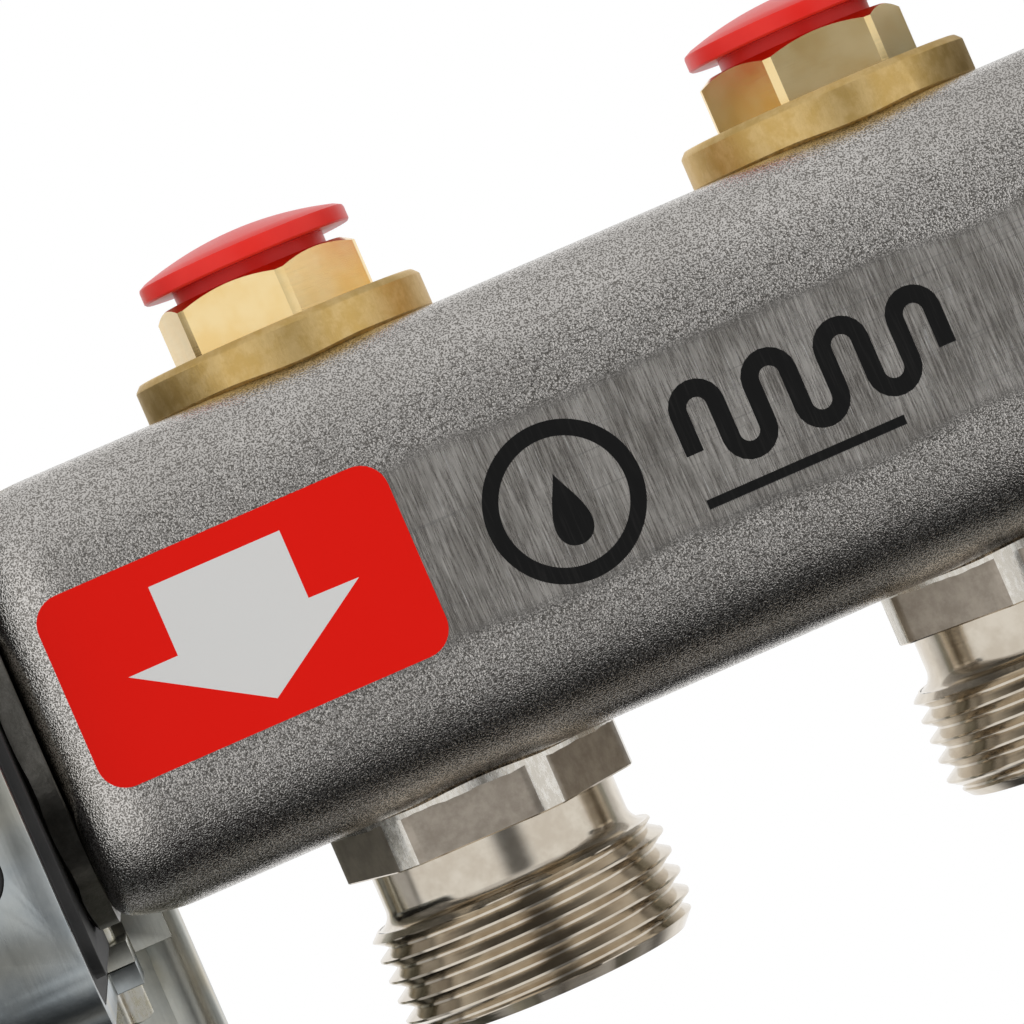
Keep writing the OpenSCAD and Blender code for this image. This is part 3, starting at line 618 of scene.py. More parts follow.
def drawnSteel():
    s = Surface("drawnSteel", Metallic=1.0)
    lines = s.noise(0.1, stretch=(20, 20, 1), detail=2.0)
    colour = s.mix(lines, (0.56, 0.56, 0.57), (0.70, 0.70, 0.71))
    return s.feed(Base_Color=colour, Roughness=(lines - 0.5) * 0.1 + 0.24, Normal=s.bump(lines, 0.003))


def plastic(name, low, high, gloss, grainSize, depth, **constants):
    # moulded plastic: slightly uneven colour, fine spark-eroded grain
    s = Surface(name, **constants)
    grain = s.noise(grainSize, detail=3.0, rough=0.6)
    cloud = s.noise(4.0, detail=3.0)
    colour = s.mix(cloud.step(0.25, 0.75), low, high)
    roughness = (cloud - 0.5) * 0.12 + gloss + (grain - 0.5) * 0.1
    return s.feed(Base_Color=colour, Roughness=roughness, Normal=s.bump(grain, depth))


def printedFilm(name, ink):
    # glossy sticker: even ink, faint dents from the tube beneath
    s = Surface(name, Specular_IOR_Level=0.12)
    dents = s.noise(3.0, detail=2.0)
    speck = s.noise(0.18, detail=2.0).step(0.62, 0.8)
    colour = s.mix(speck * 0.12, ink, tuple(0.75 * c for c in ink))
    bump = s.bump(dents, 0.02)
    return s.feed(Base_Color=colour, Roughness=(dents - 0.5) * 0.1 + 0.38, Normal=bump)


def inkPrint():
    # black pad print that lets a little of the metal's lines through
    s = Surface("inkPrint", Specular_IOR_Level=0.2)
    thin = s.noise(0.12, stretch=(1, 1, 30), detail=2.0).step(0.5, 0.8)
    colour = s.mix(thin * 0.5, (0.004, 0.004, 0.004), (0.018, 0.017, 0.016))
    return s.feed(Base_Color=colour, Roughness=thin * 0.2 + 0.42, Normal=s.bump(thin, 0.004))


def nickelPaintedShade():
    # end fittings: plated over a rough casting; their dark grey base colour is painted shade for the shadowed
    # gap between strap and bar end
    s = Surface("nickelPaintedShade", Metallic=1.0)
    cloud = s.noise(1.8, detail=5.0, rough=0.65)
    pits = s.noise(0.3, detail=3.0)
    colour = s.mix(cloud.step(0.3, 0.7), (0.13, 0.125, 0.11), (0.22, 0.21, 0.19))
    roughness = (cloud - 0.5) * 0.2 + 0.36
    return s.feed(Base_Color=colour, Roughness=roughness, Normal=s.bump(pits, 0.03))


steel = steelBar()
flangeBrass, hexBrass = brassTurned(), brassBright()
# the last of these, for the bar-end sockets, has a dark base colour that is painted shade
nickel, milled, scraped, shadeDarkNickel = nickelTurned(), nickelMilled(), nickelScraped(), nickelPaintedShade()
strapZinc = zincSheet("strapZinc", (0.50, 0.53, 0.53), (0.36, 0.40, 0.42), (0.50, 0.48, 0.40))
railZinc = zincSheet("railZinc", (0.56, 0.56, 0.50), (0.42, 0.43, 0.40), (0.58, 0.50, 0.34))
boltZinc, pinSteel = fastenerZinc(), drawnSteel()
capRed = plastic("capRed", (0.80, 0.018, 0.012), (0.86, 0.028, 0.018), 0.34, 0.35, 0.006,
                 Specular_IOR_Level=0.3)
capBlue = plastic("capBlue", (0.020, 0.075, 0.36), (0.028, 0.095, 0.42), 0.42, 0.25, 0.010)
capBlack = plastic("capBlack", (0.020, 0.020, 0.022), (0.032, 0.032, 0.034), 0.45, 0.25, 0.010)
rubber = plastic("rubber", (0.016, 0.016, 0.016), (0.030, 0.029, 0.028), 0.62, 0.4, 0.020)
filmRed = printedFilm("filmRed", (0.78, 0.008, 0.003))
filmBlue = printedFilm("filmBlue", (0.015, 0.09, 0.50))
filmPale = printedFilm("filmPale", (0.70, 0.695, 0.68))
ink = inkPrint()
print("finishes made")


# ---- bars ----

bar = {"deep": 36, "high": 37, "cornerDeep": 6.6, "cornerHigh": 10.8,
       "endArc": 16.0, "endSlope": 20, "endRound": 2.2, "wall": 1.5, "hole": 10.2, "endHole": 13.0,
       "cornerSteps": 16, "roundSteps": 8, "support": 0.35}


def barSection(inset):
    # outline of the bar as (depth, height), with extra points just inside each flat
    halfDeep, halfHigh = bar["deep"] / 2 - inset, bar["high"] / 2 - inset
    deep, high, steps = bar["cornerDeep"] - inset, bar["cornerHigh"] - inset, bar["cornerSteps"]
    points = []
    for k, (sy, sz) in enumerate(((1, 1), (-1, 1), (-1, -1), (1, -1))):
        centre = Vector((sy * (halfDeep - deep), sz * (halfHigh - high)))
        turns = [tau / 4 * (k + j / steps) for j in range(steps + 1)]
        arc = [centre + Vector((deep * math.cos(turn), high * math.sin(turn))) for turn in turns]
        before = Vector((math.sin(tau / 4 * k), -math.cos(tau / 4 * k))) * bar["support"]
        after = Vector((-math.sin(tau / 4 * (k + 1)), math.cos(tau / 4 * (k + 1)))) * bar["support"]
        points += [arc[0] + before, *arc, arc[-1] + after]
    return points


def makeBar(line):
    # each end leans in along a wide arc, then turns over a tight one
    half, arc, edge, steps = barEnd * 1000, bar["endArc"], bar["endRound"], bar["roundSteps"]
    slope = math.radians(bar["endSlope"])
    low = arc * (1 - math.cos(slope))
    start = half - edge * (1 - math.sin(slope)) - arc * math.sin(slope)
    stations = [(start - bar["support"], 0)]
    for k in range(steps):
        angle = slope * k / steps
        stations.append((start + arc * math.sin(angle), arc * (1 - math.cos(angle))))
    for k in range(steps + 1):
        angle = slope + (tau / 4 - slope) * k / steps
        stations.append((half - edge + edge * math.sin(angle),
                         low + edge * (math.cos(slope) - math.cos(angle))))
    ease = stations[-1][1]
    stations = stations[::-1]
    rows = [(-x, inset) for x, inset in stations] + [(x, inset) for x, inset in stations[::-1]]
    verts = [(x, *p) for x, inset in rows for p in barSection(inset)]
    inner = [(x * (half - bar["wall"]) / half, inset + bar["wall"]) for x, inset in rows
             if inset < ease - bar["wall"]]
    count = len(barSection(0))

    def hole(x):
        return [(x, *(Vector(p).normalized() * bar["endHole"])) for p in barSection(ease)]

    loops = len(rows)
    verts += hole(half) + hole(half - bar["wall"])
    for x, inset in inner[::-1]:
        verts += [(x, *p) for p in barSection(inset)]
    verts += hole(-half + bar["wall"]) + hole(-half)
    loops += 4 + len(inner)
    faces = []
    for r in range(loops):
        for c in range(count):
            here, there, after = r * count, (r + 1) % loops * count, (c + 1) % count
            faces.append((here + c, here + after, there + after, there + c))
    piece = newObject(line + "Bar", verts, faces)
    weld(piece.data)
    smooth(piece)
    for i in circuits:
        cutter = turned("cutter", [(0, -25), (bar["hole"], -25), (bar["hole"], 25), (0, 25)], 64)
        weld(cutter.data)
        cutter.data.transform(Matrix.Translation((circuitX[i] * 1000, 0, 0)))
        cut = piece.modifiers.new("hole", "BOOLEAN")
        cut.object, cut.solver = cutter, "EXACT"
        made = bpy.data.meshes.new_from_object(piece.evaluated_get(bpy.context.evaluated_depsgraph_get()))
        piece.modifiers.clear()
        piece.data = made
        bpy.data.objects.remove(cutter)
    settle(piece, onLine(line))
    smooth(piece)
    return finished(piece, root, steel, [line + "_bar"])


def barTop(radius, angle):
    # height of the bar's skin above its axis at a place beside a circuit's axis
    beside = abs(radius * math.sin(angle)) - (bar["deep"] / 2 - bar["cornerDeep"])
    drop = 1 - math.sqrt(1 - (max(0.0, beside) / bar["cornerDeep"]) ** 2)
    return bar["high"] / 2 - bar["cornerHigh"] * drop


for line in lines:
    makeBar(line)
print("bars made")


# ---- valves and red caps ----

valve = {"seatTop": 18.5, "flange": 12.9, "flangeHigh": 3.6, "topEdge": 0.5, "lowEdge": 0.3, "hexHigh": 4.8,
         "hexagon": {"af": 16.4, "cut": 0.22}, "turns": {1: -19.0, 2: 2.7}, "capHole": 6.85, "shank": 10.0,
         "cage": 7.6, "cageLow": -10.0, "bonnet": 13.0, "bore": 3.46, "plugDeep": 4.6}
redCap = {"radius": 9.3, "gap": 1.1, "rim": 1.5, "dome": 1.5, "plug": 6.79, "plugDeep": 3.6, "wall": 1.4}


def makeValve(i):
    v = valve
    flangeTop = v["seatTop"] + v["flangeHigh"]
    hexTop = flangeTop + v["hexHigh"]
    radius, cut, low = v["flange"], v["topEdge"], v["lowEdge"]
    profile = [(v["bore"], flangeTop - 0.02), (radius - cut, flangeTop),
               (radius - cut * 0.12, flangeTop - cut * 0.9), (radius, flangeTop - cut * 1.15),
               (radius, v["seatTop"] + low),
               lambda a: (radius, barTop(radius, a) + low), lambda a: (radius - low, barTop(radius - low, a)),
               lambda a: (v["shank"], barTop(v["shank"], a)), (v["shank"], v["cageLow"]),
               (v["cage"], v["cageLow"]), (v["cage"], v["bonnet"]), (v["bore"], v["bonnet"])]
    body = turned("flange", profile + profile[:1], 128)
    head = hexagon("head", v["hexagon"], v["capHole"], flangeTop - 0.05, hexTop, math.radians(v["turns"][i]))
    closeRing(head)
    for piece, material in ((body, flangeBrass), (head, hexBrass)):
        weld(piece.data, 1e-3)
        piece.data.materials.append(material)
    piece = join(f"supplyValve{i}", [body, head])
    settle(piece, onLine("supply", circuitX[i]))
    softEdges(piece, 0.09, 25, 2)
    return finished(piece, root, None, [f"supply_valve_body_{i}"])


def makeRedCap(i):
    c = redCap
    hexTop = valve["seatTop"] + valve["flangeHigh"] + valve["hexHigh"]
    low = hexTop + c["gap"]
    high, radius = low + c["rim"], c["radius"]
    dome = [(radius * (1 - k / 14), high + c["dome"] * (1 - (1 - k / 14) ** 2)) for k in range(1, 15)]
    plug, hollow, end = c["plug"], c["plug"] - c["wall"], hexTop - c["plugDeep"]
    profile = [(0, low + 0.7), (hollow, low + 0.7), (hollow, end + 0.3), (hollow + 0.3, end),
               (plug - 0.4, end), (plug, end + 0.5), (plug, low), (radius - 0.15, low)]
    profile += [(radius, low + 0.15), (radius, high - 0.3), (radius - 0.08, high - 0.1)] + dome
    piece = turned(f"redCap{i}", profile, 96)
    weld(piece.data, 1e-3)
    settle(piece, onLine("supply", circuitX[i]))
    smooth(piece, 38)
    return finished(piece, f"supply_cap_{i}", capRed, [f"supply_cap_{i}"])


for i in circuits:
    makeValve(i)
    makeRedCap(i)
print("valves and red caps made")


# ---- outlets ----

outlet = {"barLow": -18.5, "collar": 12.95, "af": 23.4, "collarHigh": 4.7, "rim": 0.55, "neck": 11.0,
          "neckHigh": 4.6, "flare": 1.5, "flareOut": 1.36, "threadHigh": 9.6, "bore": 8.0, "mouth": 9.2,
          "mouthDeep": 5.0, "shank": 10.0, "spigot": 7.5, "spigotTop": -1.0, "spigotLow": -13.9, "seat": 5.2,
          "turns": {1: -8.0, 2: 16.6}, "flatSteps": 16, "cornerSteps": 4,
          "thread": {"radius": 13.1, "depth": 1.12, "pitch": 1.814, "taper": 1.5, "crest": 0.10, "perTurn": 18,
                     "columns": 160}}


def makeOutlet(line, i):
    o = outlet
    top, bottom = o["barLow"], o["barLow"] - o["collarHigh"]
    flat, full, turn = o["af"] / 2, o["collar"], math.radians(o["turns"][i])
    half = math.acos(flat / full)
    gap = tau / 6 - 2 * half
    perFlat, perCorner = o["flatSteps"], o["cornerSteps"]
    angles = []
    for face in range(6):
        centre = turn + tau / 12 + face * tau / 6
        angles += [centre - half + 2 * half * k / perFlat for k in range(perFlat + 1)]
        angles += [centre + half + gap * k / perCorner for k in range(1, perCorner)]

    def milledSide(angle):
        return min(full, flat / math.cos((angle - turn) % (tau / 6) - tau / 12))

    def ragged(angle):
        # the cutter's uneven upper edge
        return 0.05 * math.sin(17 * angle) + 0.035 * math.sin(41 * angle + 1)

    rows = [lambda a: (o["shank"], -barTop(o["shank"], a)), lambda a: (full - 0.2, -barTop(full - 0.2, a)),
            lambda a: (full, -barTop(full, a) - 0.15), (full, top - 0.2),
            lambda a: (full, top - o["rim"] - ragged(a)),
            lambda a: (milledSide(a), top - o["rim"] - 0.02 - ragged(a)),
            lambda a: (milledSide(a), bottom + 0.12), lambda a: (milledSide(a) - 0.12, bottom),
            (o["neck"] + 0.02, bottom)]
    collar = turned("collar", rows, angles)
    for material in (nickel, milled, scraped):
        collar.data.materials.append(material)
    count = len(angles)
    for face in collar.data.polygons:
        row, column = divmod(face.index, count)
        if row == 5:
            face.material_index = 1 if column % (perFlat + perCorner) < perFlat else 2
        elif row in (2, 3, 4):
            face.material_index = 2
    threadTop = bottom - o["neckHigh"]
    threadLow = threadTop - o["threadHigh"]
    flare = [(o["neck"] + o["flareOut"] * (1 - math.cos(tau / 4 * k / 8)),
              threadTop + o["flare"] * (1 - math.sin(tau / 4 * k / 8))) for k in range(9)]
    neck = turned("neck", [(o["neck"] + 0.02, bottom), (o["neck"], bottom - 0.25), *flare], 160)
    seatLow = threadLow + o["mouthDeep"]
    mouth = [(o["thread"]["radius"] - o["thread"]["taper"] * 1.3, threadLow), (o["mouth"] + 0.35, threadLow),
             (o["mouth"], threadLow + 0.3), (o["mouth"], seatLow), (o["bore"], seatLow + 0.8),
             (o["bore"], o["spigotLow"]), (o["seat"], o["spigotLow"] + 0.4), (o["seat"], o["spigotTop"]),
             (o["spigot"], o["spigotTop"]), (o["spigot"], o["spigotLow"]), (o["shank"], o["spigotLow"]),
             (o["shank"], top)]
    inside = turned("bore", mouth, 160)
    screw = threaded("screw", o["thread"], threadLow, threadTop + 0.05, nickel)
    for part in (neck, inside):
        part.data.materials.append(nickel)
    piece = join(f"{line}Outlet{i}", [collar, neck, inside, screw])
    weld(piece.data, 2e-3, outward=False)
    outwardFaces(piece)
    settle(piece, onLine(line, circuitX[i]))
    smooth(piece, 28)
    return finished(piece, root, None, [f"{line}_outlet_{i}"])


for line in lines:
    for i in circuits:
        makeOutlet(line, i)
print("outlets made")


# ---- stickers and prints ----

sticker = {"wide": 30.4, "high": 16.5, "round": 2.4, "x": -37.7, "z": 0.6, "thick": 0.12}
arrow = {"shaftLeft": -43.4, "shaftRight": -32.0, "top": 6.5, "neck": 0.52, "left": -47.7, "right": -27.64,
         "tip": -37.46, "point": -5.76}
emblem = {"x": -10.05, "z": -0.5, "ring": 6.0, "line": 1.35, "drop": 2.3}
coil = {"from": 1.2, "loops": 7, "step": 3.2, "low": -1.2, "high": 2.2, "line": 1.5}
underline = {"from": 0.5, "to": 18.0, "z": -5.4, "line": 0.8}


def band(path, width, closed=False):
    # flat strip along a path
    count = len(path)
    sides = []
    for k, point in enumerate(path):
        before = path[k - 1] if closed or k else point
        after = path[(k + 1) % count] if closed or k < count - 1 else point
        along = (Vector(after) - Vector(before)).normalized()
        across = Vector((-along.y, along.x)) * width / 2
        sides.append((Vector(point) + across, Vector(point) - across))
    verts = [v for pair in sides for v in pair]
    spans = range(count if closed else count - 1)
    faces = [(2 * k, 2 * k + 1, (2 * k + 3) % (2 * count), (2 * k + 2) % (2 * count)) for k in spans]
    return verts, faces


def raisedFilm(name, verts, faces, lift, thick):
    # film whose face stands thick in front of the bar's flat
    piece = newObject(name, [lift(v) for v in verts], faces)
    weld(piece.data, 1e-4)
    facing = sum(f.normal.y for f in piece.data.polygons)
    if facing > 0:
        piece.data.flip_normals()
    solid = piece.modifiers.new("thick", "SOLIDIFY")
    solid.thickness, solid.offset = thick, -1
    return piece


def makeSticker(line):
    front = -bar["deep"] / 2 - sticker["thick"]
    shape = roundedBox(sticker["wide"] / 2, sticker["high"] / 2, sticker["round"])
    edge = [(sticker["x"] + u, sticker["z"] + v) for u, v in shape]
    a = arrow
    mark = [(a["shaftLeft"], a["top"]), (a["shaftRight"], a["top"]), (a["shaftRight"], a["neck"] + 0.08),
            (a["right"], a["neck"]), (a["tip"], a["point"]), (a["left"], a["neck"]),
            (a["shaftLeft"], a["neck"] + 0.02)]
    if line == "return":
        mark = [(u, a["top"] + a["point"] - v) for u, v in mark]
    field, slotName = (filmRed, "red_sticker") if line == "supply" else (filmBlue, "blue_sticker")
    pieces = []
    for outline, holes, material in ((edge, [mark], field), (mark, [], filmPale)):
        verts, faces = filled(outline, holes, lambda u, v: (u, v))
        piece = raisedFilm("film", verts, faces, lambda v: (v[0], front, v[1]), sticker["thick"] - 0.01)
        piece.data.materials.append(material)
        pieces.append(piece)
    for piece in pieces[1:]:
        piece.modifiers.clear()
    film = join(line + "Sticker", pieces)
    weld(film.data, 1e-4, outward=False)
    settle(film, onLine(line))
    film.modifiers["thick"].thickness *= 0.001
    return finished(film, root, None, [line + "_sticker"])


def makePrint(line):
    # a ring round a drop, a heating coil and a plain line under it
    e, c, u = emblem, coil, underline
    ringPath = [(e["x"] + e["ring"] * math.cos(tau * k / 64), e["z"] + e["ring"] * math.sin(tau * k / 64))
                for k in range(64)]
    dropPath = []
    for k in range(48):
        angle = tau * k / 48
        narrow = math.sin(angle / 2) ** 1.6
        dropPath.append((e["x"] + e["drop"] * math.sin(angle) * narrow,
                         e["z"] - 0.6 + e["drop"] * 1.35 * math.cos(angle)))
    path = []
    reach = c["step"] / 2
    for k in range(c["loops"] + 1):
        x = c["from"] + k * c["step"]
        upward = k % 2 == 0
        path += [(x, c["low"] if upward else c["high"]), (x, c["high"] if upward else c["low"])]
        if k < c["loops"]:
            level, way = path[-1][1], 1 if upward else -1
            bend = [tau / 2 * j / 10 for j in range(1, 10)]
            path += [(x + reach - reach * math.cos(t), level + way * reach * math.sin(t)) for t in bend]
    shapes = [band(ringPath, e["line"], closed=True), filled(dropPath, [], lambda a, b: (a, b)),
              band(path, c["line"]), band([(u["from"], u["z"]), (u["to"], u["z"])], u["line"])]
    front = -bar["deep"] / 2 - 0.03
    pieces = [raisedFilm("mark", verts, faces, lambda v: (v[0], front, v[1]), 0.025) for verts, faces in shapes]
    for piece in pieces[1:]:
        piece.modifiers.clear()
    marks = join(line + "Print", pieces)
    settle(marks, onLine(line))
    marks.modifiers["thick"].thickness *= 0.001
    return finished(marks, root, ink)


for line in lines:
    makeSticker(line)
    makePrint(line)
print("stickers made")


# ---- bar ends ----

socket = {"shoulder": {"af": 36.0, "cut": 0.25, "count": 12}, "shoulderLong": 2.2,
          "sleeve": 17.3, "sleeveLong": 24.2,
          "hexagon": {"af": 41.0, "cut": 0.8}, "hexLong": 12.0, "bore": 11.5, "spigot": 12.9, "spigotLong": 3.0,
          "thread": {"radius": 15.9, "depth": 1.3, "pitch": 2.309, "taper": -0.6, "crest": 0.14, "perTurn": 16,
                     "columns": 128}, "threadDeep": 16.0}


def makeSocket(line, side):
    s = socket
    hexLow = s["shoulderLong"] + s["sleeveLong"]
    face = hexLow + s["hexLong"]
    start, crest = face - s["threadDeep"], s["thread"]["radius"]
    hole, turn = s["sleeve"] - 0.3, math.radians(15)
    shoulder = hexagon("shoulder", s["shoulder"], hole, 0, s["shoulderLong"], turn, 0.2)
    head = hexagon("head", s["hexagon"], hole, hexLow, face, 0.0, 0.7)
    tube = turned("tube", [(crest, start), (s["bore"], start - 0.6), (s["bore"], -s["spigotLong"]),
                           (s["spigot"], -s["spigotLong"]), (s["spigot"], 0.05), (s["sleeve"], 0.05),
                           (s["sleeve"], face - 0.02), (crest + 0.4, face - 0.02), (crest - 0.1, face - 0.6)],
                  128)
    for piece in (shoulder, head):
        closeRing(piece)
    # shoulder, head, tube and inner thread all take the nickel whose dark base colour is painted shade
    screw = threaded("screw", s["thread"], start, face - 0.6, shadeDarkNickel, inside=True)
    for piece in (shoulder, head, tube):
        weld(piece.data, 1e-3)
        piece.data.materials.append(shadeDarkNickel)
    outwardFaces(tube)
    piece = join(f"{line}Socket{side.capitalize()}", [shoulder, head, tube, screw])
    settle(piece, onEnd(line, side))
    smooth(piece, 28)
    return finished(piece, root, None, [f"{line}_end_socket_{side}"])


for line in lines:
    for side in sides:
        makeSocket(line, side)
print("bar ends made")


# ---- grip caps ----

def gripSide(angle, size):
    # outer radius of a grip with rounded flutes
    wave = abs(((angle * size["flutes"] / tau) % 1) - 0.5) * 2
    share = max(0.0, (wave - size["rib"]) / (1 - size["rib"]))
    return size["radius"] - size["groove"] * math.sin(share * tau / 4) ** 2


def gripCap(name, size):
    # fluted wall that fades out below and above, closed and slightly dished top, round hollow
    columns = size["flutes"] * 12
    low, high = size["low"], size["high"]

    def at(height, share, inset=0.0):
        return lambda a: (size["radius"] - (size["radius"] - gripSide(a, size)) * share - inset, height)

    hollow = size["hollow"]
    full, skirt, shoulder = size["radius"], size["skirt"], size["shoulder"]
    rows = [(hollow[-1][0], low), (full - 0.7, low), (full, low + 0.6), (full, low + skirt)]
    rows += [at(low + skirt + 0.5, 1.0)]
    rows += [at(high - shoulder + shoulder * math.sin(tau / 4 * k / 6),
                1.0 - 0.5 * k / 6, shoulder * (1 - math.cos(tau / 4 * k / 6))) for k in range(7)]
    inner = full - shoulder
    rows += [(inner - 0.8, high), (inner - 1.3, high - 0.25), (inner * 0.5, high - 0.35), (0, high - 0.35)]
    rows = [(0, hollow[0][1])] + hollow + rows
    piece = turned(name, rows, columns)
    weld(piece.data, 1e-3)
    return piece


handCap = {"radius": 18.0, "groove": 0.95, "rib": 0.35, "flutes": 24, "low": 26.9, "high": 50.9, "skirt": 2.6,
           "shoulder": 2.6, "hollow": [(10.0, 39.3), (10.0, 35.1), (14.96, 35.0), (14.96, 26.9)]}
hoseCap = {"radius": 15.0, "groove": 0.7, "rib": 0.4, "flutes": 18, "low": 30.9, "high": 42.2, "skirt": 1.6,
           "shoulder": 1.4, "hollow": [(12.26, 39.8), (12.26, 30.9)]}
for i in circuits:
    piece = settle(gripCap(f"blueCap{i}", handCap), onLine("return", circuitX[i]))
    smooth(piece, 40)
    finished(piece, f"return_hand_cap_{i}", capBlue, [f"return_hand_cap_{i}"])
    piece.visible_glossy = False
print("blue caps made")


# ---- sheet metal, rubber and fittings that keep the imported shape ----

kept = {
    "_strap_": ("Strap", strapZinc, "zinc", 0.35),
    "_saddle_": ("Saddle", railZinc, "zinc_yellow", 0.3),
    "_rubber_": ("Rubber", rubber, "rubber", 0.35),
}
for line in lines:
    for side in sides:
        for part, (label, material, slotName, width) in kept.items():
            node = line + part + side
            finished(merged(node, f"{line}{label}{side.capitalize()}", width), root, material, [node])
for side in sides:
    node = "rail_" + side
    finished(merged(node, "rail" + side.capitalize(), 0.3), root, railZinc, [node])
for line in lines:
    finished(merged(line + "_end_plug", line + "Plug", 0.25), root, nickel, [line + "_end_plug"])
finished(merged("drain_cock", "drainCock", 0.3), root, nickel, ["drain_cock"])
finished(merged("saddle_nuts", "plateNuts", 0.3), root, railZinc, ["saddle_nuts"])
finished(merged("air_vent_screw", "ventScrew", 0.2), "air_vent_screw", flangeBrass, ["air_vent_screw"])
finished(merged("drain_spindle", "drainSpindle", 0.3), "drain_spindle", flangeBrass, ["drain_spindle"])
for i in circuits:
    node = f"return_valve_body_{i}"
    finished(merged(node, f"returnValve{i}", 0.15), root, nickel, [node])
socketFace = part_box("return_end_socket_right")[1].x
piece = gripCap("hoseCap", hoseCap)
settle(piece, onLine("return", socketFace) @ Matrix.Rotation(tau / 4, 4, "Y"))
smooth(piece, 40)
finished(piece, "drain_cap", capBlack, ["drain_cap"])
print("sheet metal, rubber and fittings made")


# ---- fasteners ----

clamp = {"x": middle("supply_strap_left").x, "earX": 9.2, "earY": 17.7, "reach": 24.7, "studZ": 12.0,
         "studY": 22.7, "returnStudY": 57.7}
bolt = {"radius": 2.0, "head": 3.4, "headHigh": 1.6, "sheets": 4.05, "tail": 4.2}
nut = {"af": 7.0, "cut": 0.12, "high": 3.2, "hole": 2.0}
stud = {"radius": 3.0, "head": 5.0, "high": 2.2, "long": 9.0, "socket": 2.3}


def scattered(name, model, spots, material, node):
    # spots are (place in metres, turn about X)
    piece = newObject(name, [place for place, turn in spots], [])
    turns = piece.data.attributes.new("turn", "FLOAT_VECTOR", "POINT")
    for item, (place, turn) in zip(turns.data, spots):
        item.vector = (turn, 0, 0)
    model.data.transform(Matrix.Scale(0.001, 4))
    grown(piece, fastenerSpread, {"Model": model, "Material": material})
    bpy.data.objects.remove(model)
    smooth(piece, 30)
    return finished(piece, root, material, [node])


ears, studs = [], []
for line in lines:
    for way in (-1, 1):
        base = barMiddle[line] + Vector((way * abs(clamp["x"]), 0, 0))
        for z in (-1, 1):
            turn = 0 if z > 0 else math.pi
            ears += [(base + Vector((x * clamp["earX"], clamp["earY"], z * clamp["reach"])) / 1000, turn)
                     for x in (-1, 1)]
            deep = clamp["studY"] if line == "supply" else clamp["returnStudY"]
            studs.append((base + Vector((0, deep, z * clamp["studZ"])) / 1000, tau / 4))
under, tail = -bolt["sheets"], bolt["tail"]
headTop = under - bolt["headHigh"]
outline = [(0, headTop), (bolt["head"], headTop), (bolt["head"], under), (bolt["radius"], under),
           (bolt["radius"], tail), (0, tail)]
shank = turned("boltModel", eased(outline, 0.3, 3), 32)
weld(shank.data, 1e-3)
scattered("clampBolts", shank, ears, boltZinc, "clamp_bolts")
nutModel = hexagon("nutModel", nut, nut["hole"] + 0.02, 0.0, nut["high"], 0.0, 0.2)
closeRing(nutModel)
weld(nutModel.data, 1e-3)
scattered("clampNuts", nutModel, ears, boltZinc, "clamp_nuts")
outline = [(0, -stud["long"]), (stud["radius"], -stud["long"]), (stud["radius"], 0), (stud["head"], 0),
           (stud["head"], stud["high"]), (stud["socket"], stud["high"]), (stud["socket"], 0.5), (0, 0.5)]
studModel = turned("studModel", eased(outline, 0.35, 3), 48)
weld(studModel.data, 1e-3)
scattered("saddleBolts", studModel, studs, boltZinc, "saddle_bolts")
print("fasteners made")


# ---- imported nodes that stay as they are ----

stay = {"_cone_washer_": rubber, "_disc_washer_": rubber, "valve_seals": rubber, "outlet_seals": rubber,
        "end_plug_gaskets": rubber, "supply_spindle_": flangeBrass, "supply_cone_": flangeBrass,
        "return_pin_": pinSteel, "return_spring_": pinSteel}
for node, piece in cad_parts.items():
    for part, material in stay.items():
        if part in node and not (part == "supply_cone_" and "washer" in node):
            piece.data.materials.clear()
            piece.data.materials.append(material)


# ---- floor, light and camera ----

studio = {"floorLow": 0.0006, "floorRadius": 0.85, "key": 2.0, "keySize": 0.9}
view = {"place": (-0.04381, -0.45827, 0.10769), "turn": 4.229, "rise": 1.041, "roll": -23.444, "lens": 175.35}


def makeFloor():
    low = cadLow.z - studio["floorLow"]
    reach = studio["floorRadius"]
    rings = [(0, 0), (reach * 0.5, 0), (reach, 0), (reach, -0.01), (0, -0.01)]
    floor = turned("floor", rings, 128)
    weld(floor.data)
    floor.data.transform(Matrix.Translation(((cadLow.x + cadHigh.x) / 2, (cadLow.y + cadHigh.y) / 2, low)))
    s = Surface("paleFloor")
    tone = s.noise(40.0, detail=3.0)
    s.feed(Base_Color=s.mix(tone, (0.80, 0.80, 0.80), (0.84, 0.84, 0.84)), Roughness=(tone - 0.5) * 0.1 + 0.6)
    floor.data.materials.append(s.material)
    floor.visible_glossy = False


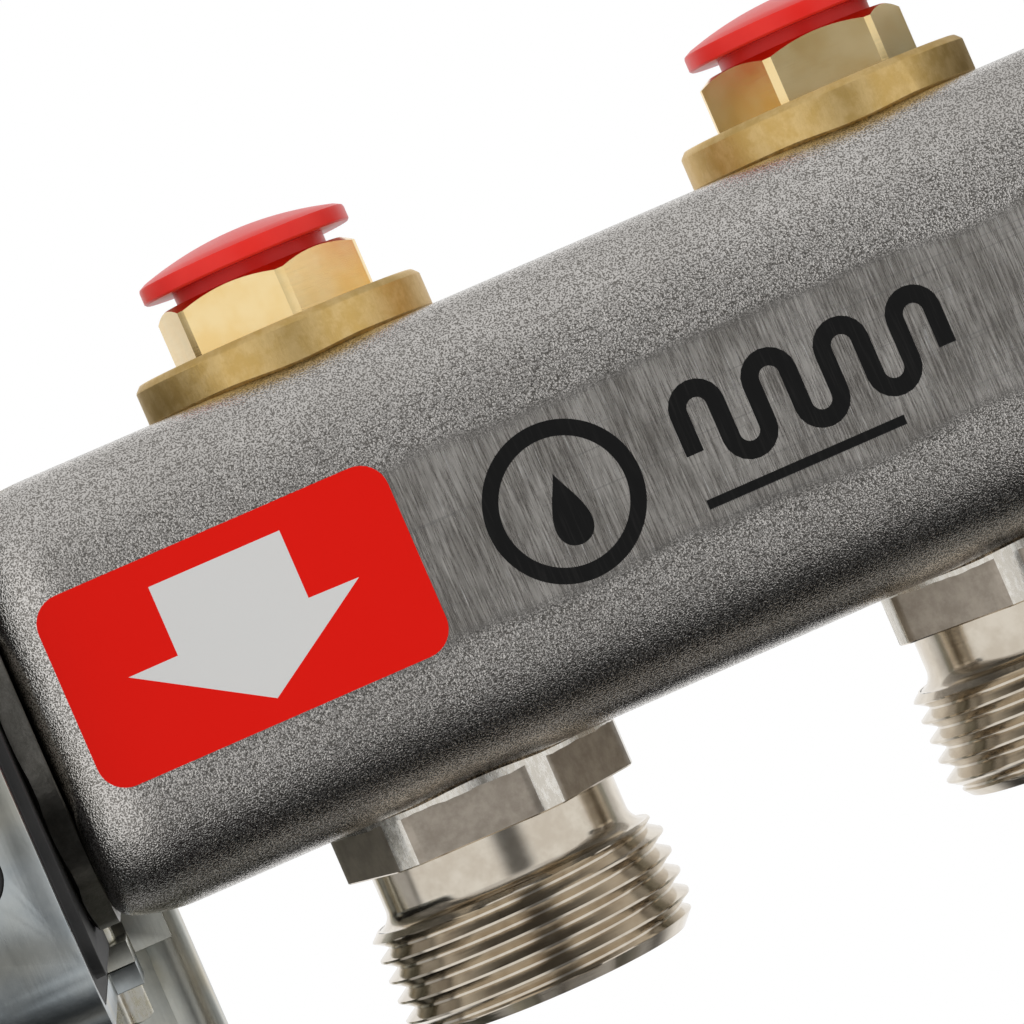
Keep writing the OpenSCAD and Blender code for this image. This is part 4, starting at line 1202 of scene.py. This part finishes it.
def makeWorld():
    # a studio round the object, given by direction: white behind, soft boxes at both sides, dark floor in front
    world = bpy.data.worlds.new("studio")
    world.use_nodes = True
    bpy.context.scene.world = world
    w = Tree(world.node_tree)
    way = w.add("ShaderNodeTexCoord", output=0)
    axes = w.tree.nodes.new("ShaderNodeSeparateXYZ")
    w.tree.links.new(way.socket, axes.inputs[0])
    x, y, z = (Value(w, socket) for socket in axes.outputs)
    turn = x.math("ARCTAN2", x, 0 - y) * (360 / tau)
    rise = z.math("ARCSINE", z) * (360 / tau)
    away = abs(turn)
    gap = abs(turn - 6)
    # light seen from the front, by height
    front = rise.step(-60, -30, 0.015, 0.10) + rise.step(-20, 0, 0.0, 0.05) + rise.step(25, 58, 0.0, 0.50)
    boxes = gap.step(5, 20) * (1 - away.step(90, 97)) * rise.step(-40, -28) * (1 - rise.step(38, 54))
    front = front * (1 - boxes) + boxes * 0.9
    dark = away.step(97, 100) * (1 - away.step(126, 138)) * (1 - rise.step(50, 70))
    front = front * (1 - dark) + dark * 0.45
    back = y.step(0.48, 0.82) * rise.step(-60, -36)
    level = front * (1 - back) + back * 1.0
    background = w.tree.nodes["Background"]
    seen = w.add("ShaderNodeLightPath", output="Is Camera Ray")
    w.tree.links.new((level * (1 - seen) + seen).socket, background.inputs["Color"])


def makeLight(name, place, aim, size, power):
    data = bpy.data.lights.new(name, "AREA")
    data.size, data.energy = size, power
    light = bpy.data.objects.new(name, data)
    bpy.context.scene.collection.objects.link(light)
    light.location = place
    light.rotation_mode = "QUATERNION"
    light.rotation_quaternion = (Vector(aim) - Vector(place)).to_track_quat("-Z", "Y")
    light.visible_glossy = False
    return light


def makeCamera():
    data = bpy.data.cameras.new("camera")
    data.lens, data.sensor_width = view["lens"], 36
    camera = bpy.data.objects.new("camera", data)
    bpy.context.scene.collection.objects.link(camera)
    turn, rise, roll = (math.radians(view[key]) for key in ("turn", "rise", "roll"))
    ahead = Vector((math.sin(turn) * math.cos(rise), math.cos(turn) * math.cos(rise), -math.sin(rise)))
    right = ahead.cross(Vector((0, 0, 1))).normalized()
    up = right.cross(ahead)
    across = math.cos(roll) * right + math.sin(roll) * up
    upward = -math.sin(roll) * right + math.cos(roll) * up
    facing = Matrix((across, upward, -ahead)).transposed().to_4x4()
    camera.matrix_world = Matrix.Translation(view["place"]) @ facing
    data.clip_start, data.clip_end = 0.01, 20
    bpy.context.scene.camera = camera


makeFloor()
makeWorld()
makeLight("key", (-0.25, -0.75, 0.55), (0, -0.05, 0.05), studio["keySize"], studio["key"])
makeCamera()
bpy.context.scene.view_settings.view_transform = "Standard"
print("floor, light and camera made")
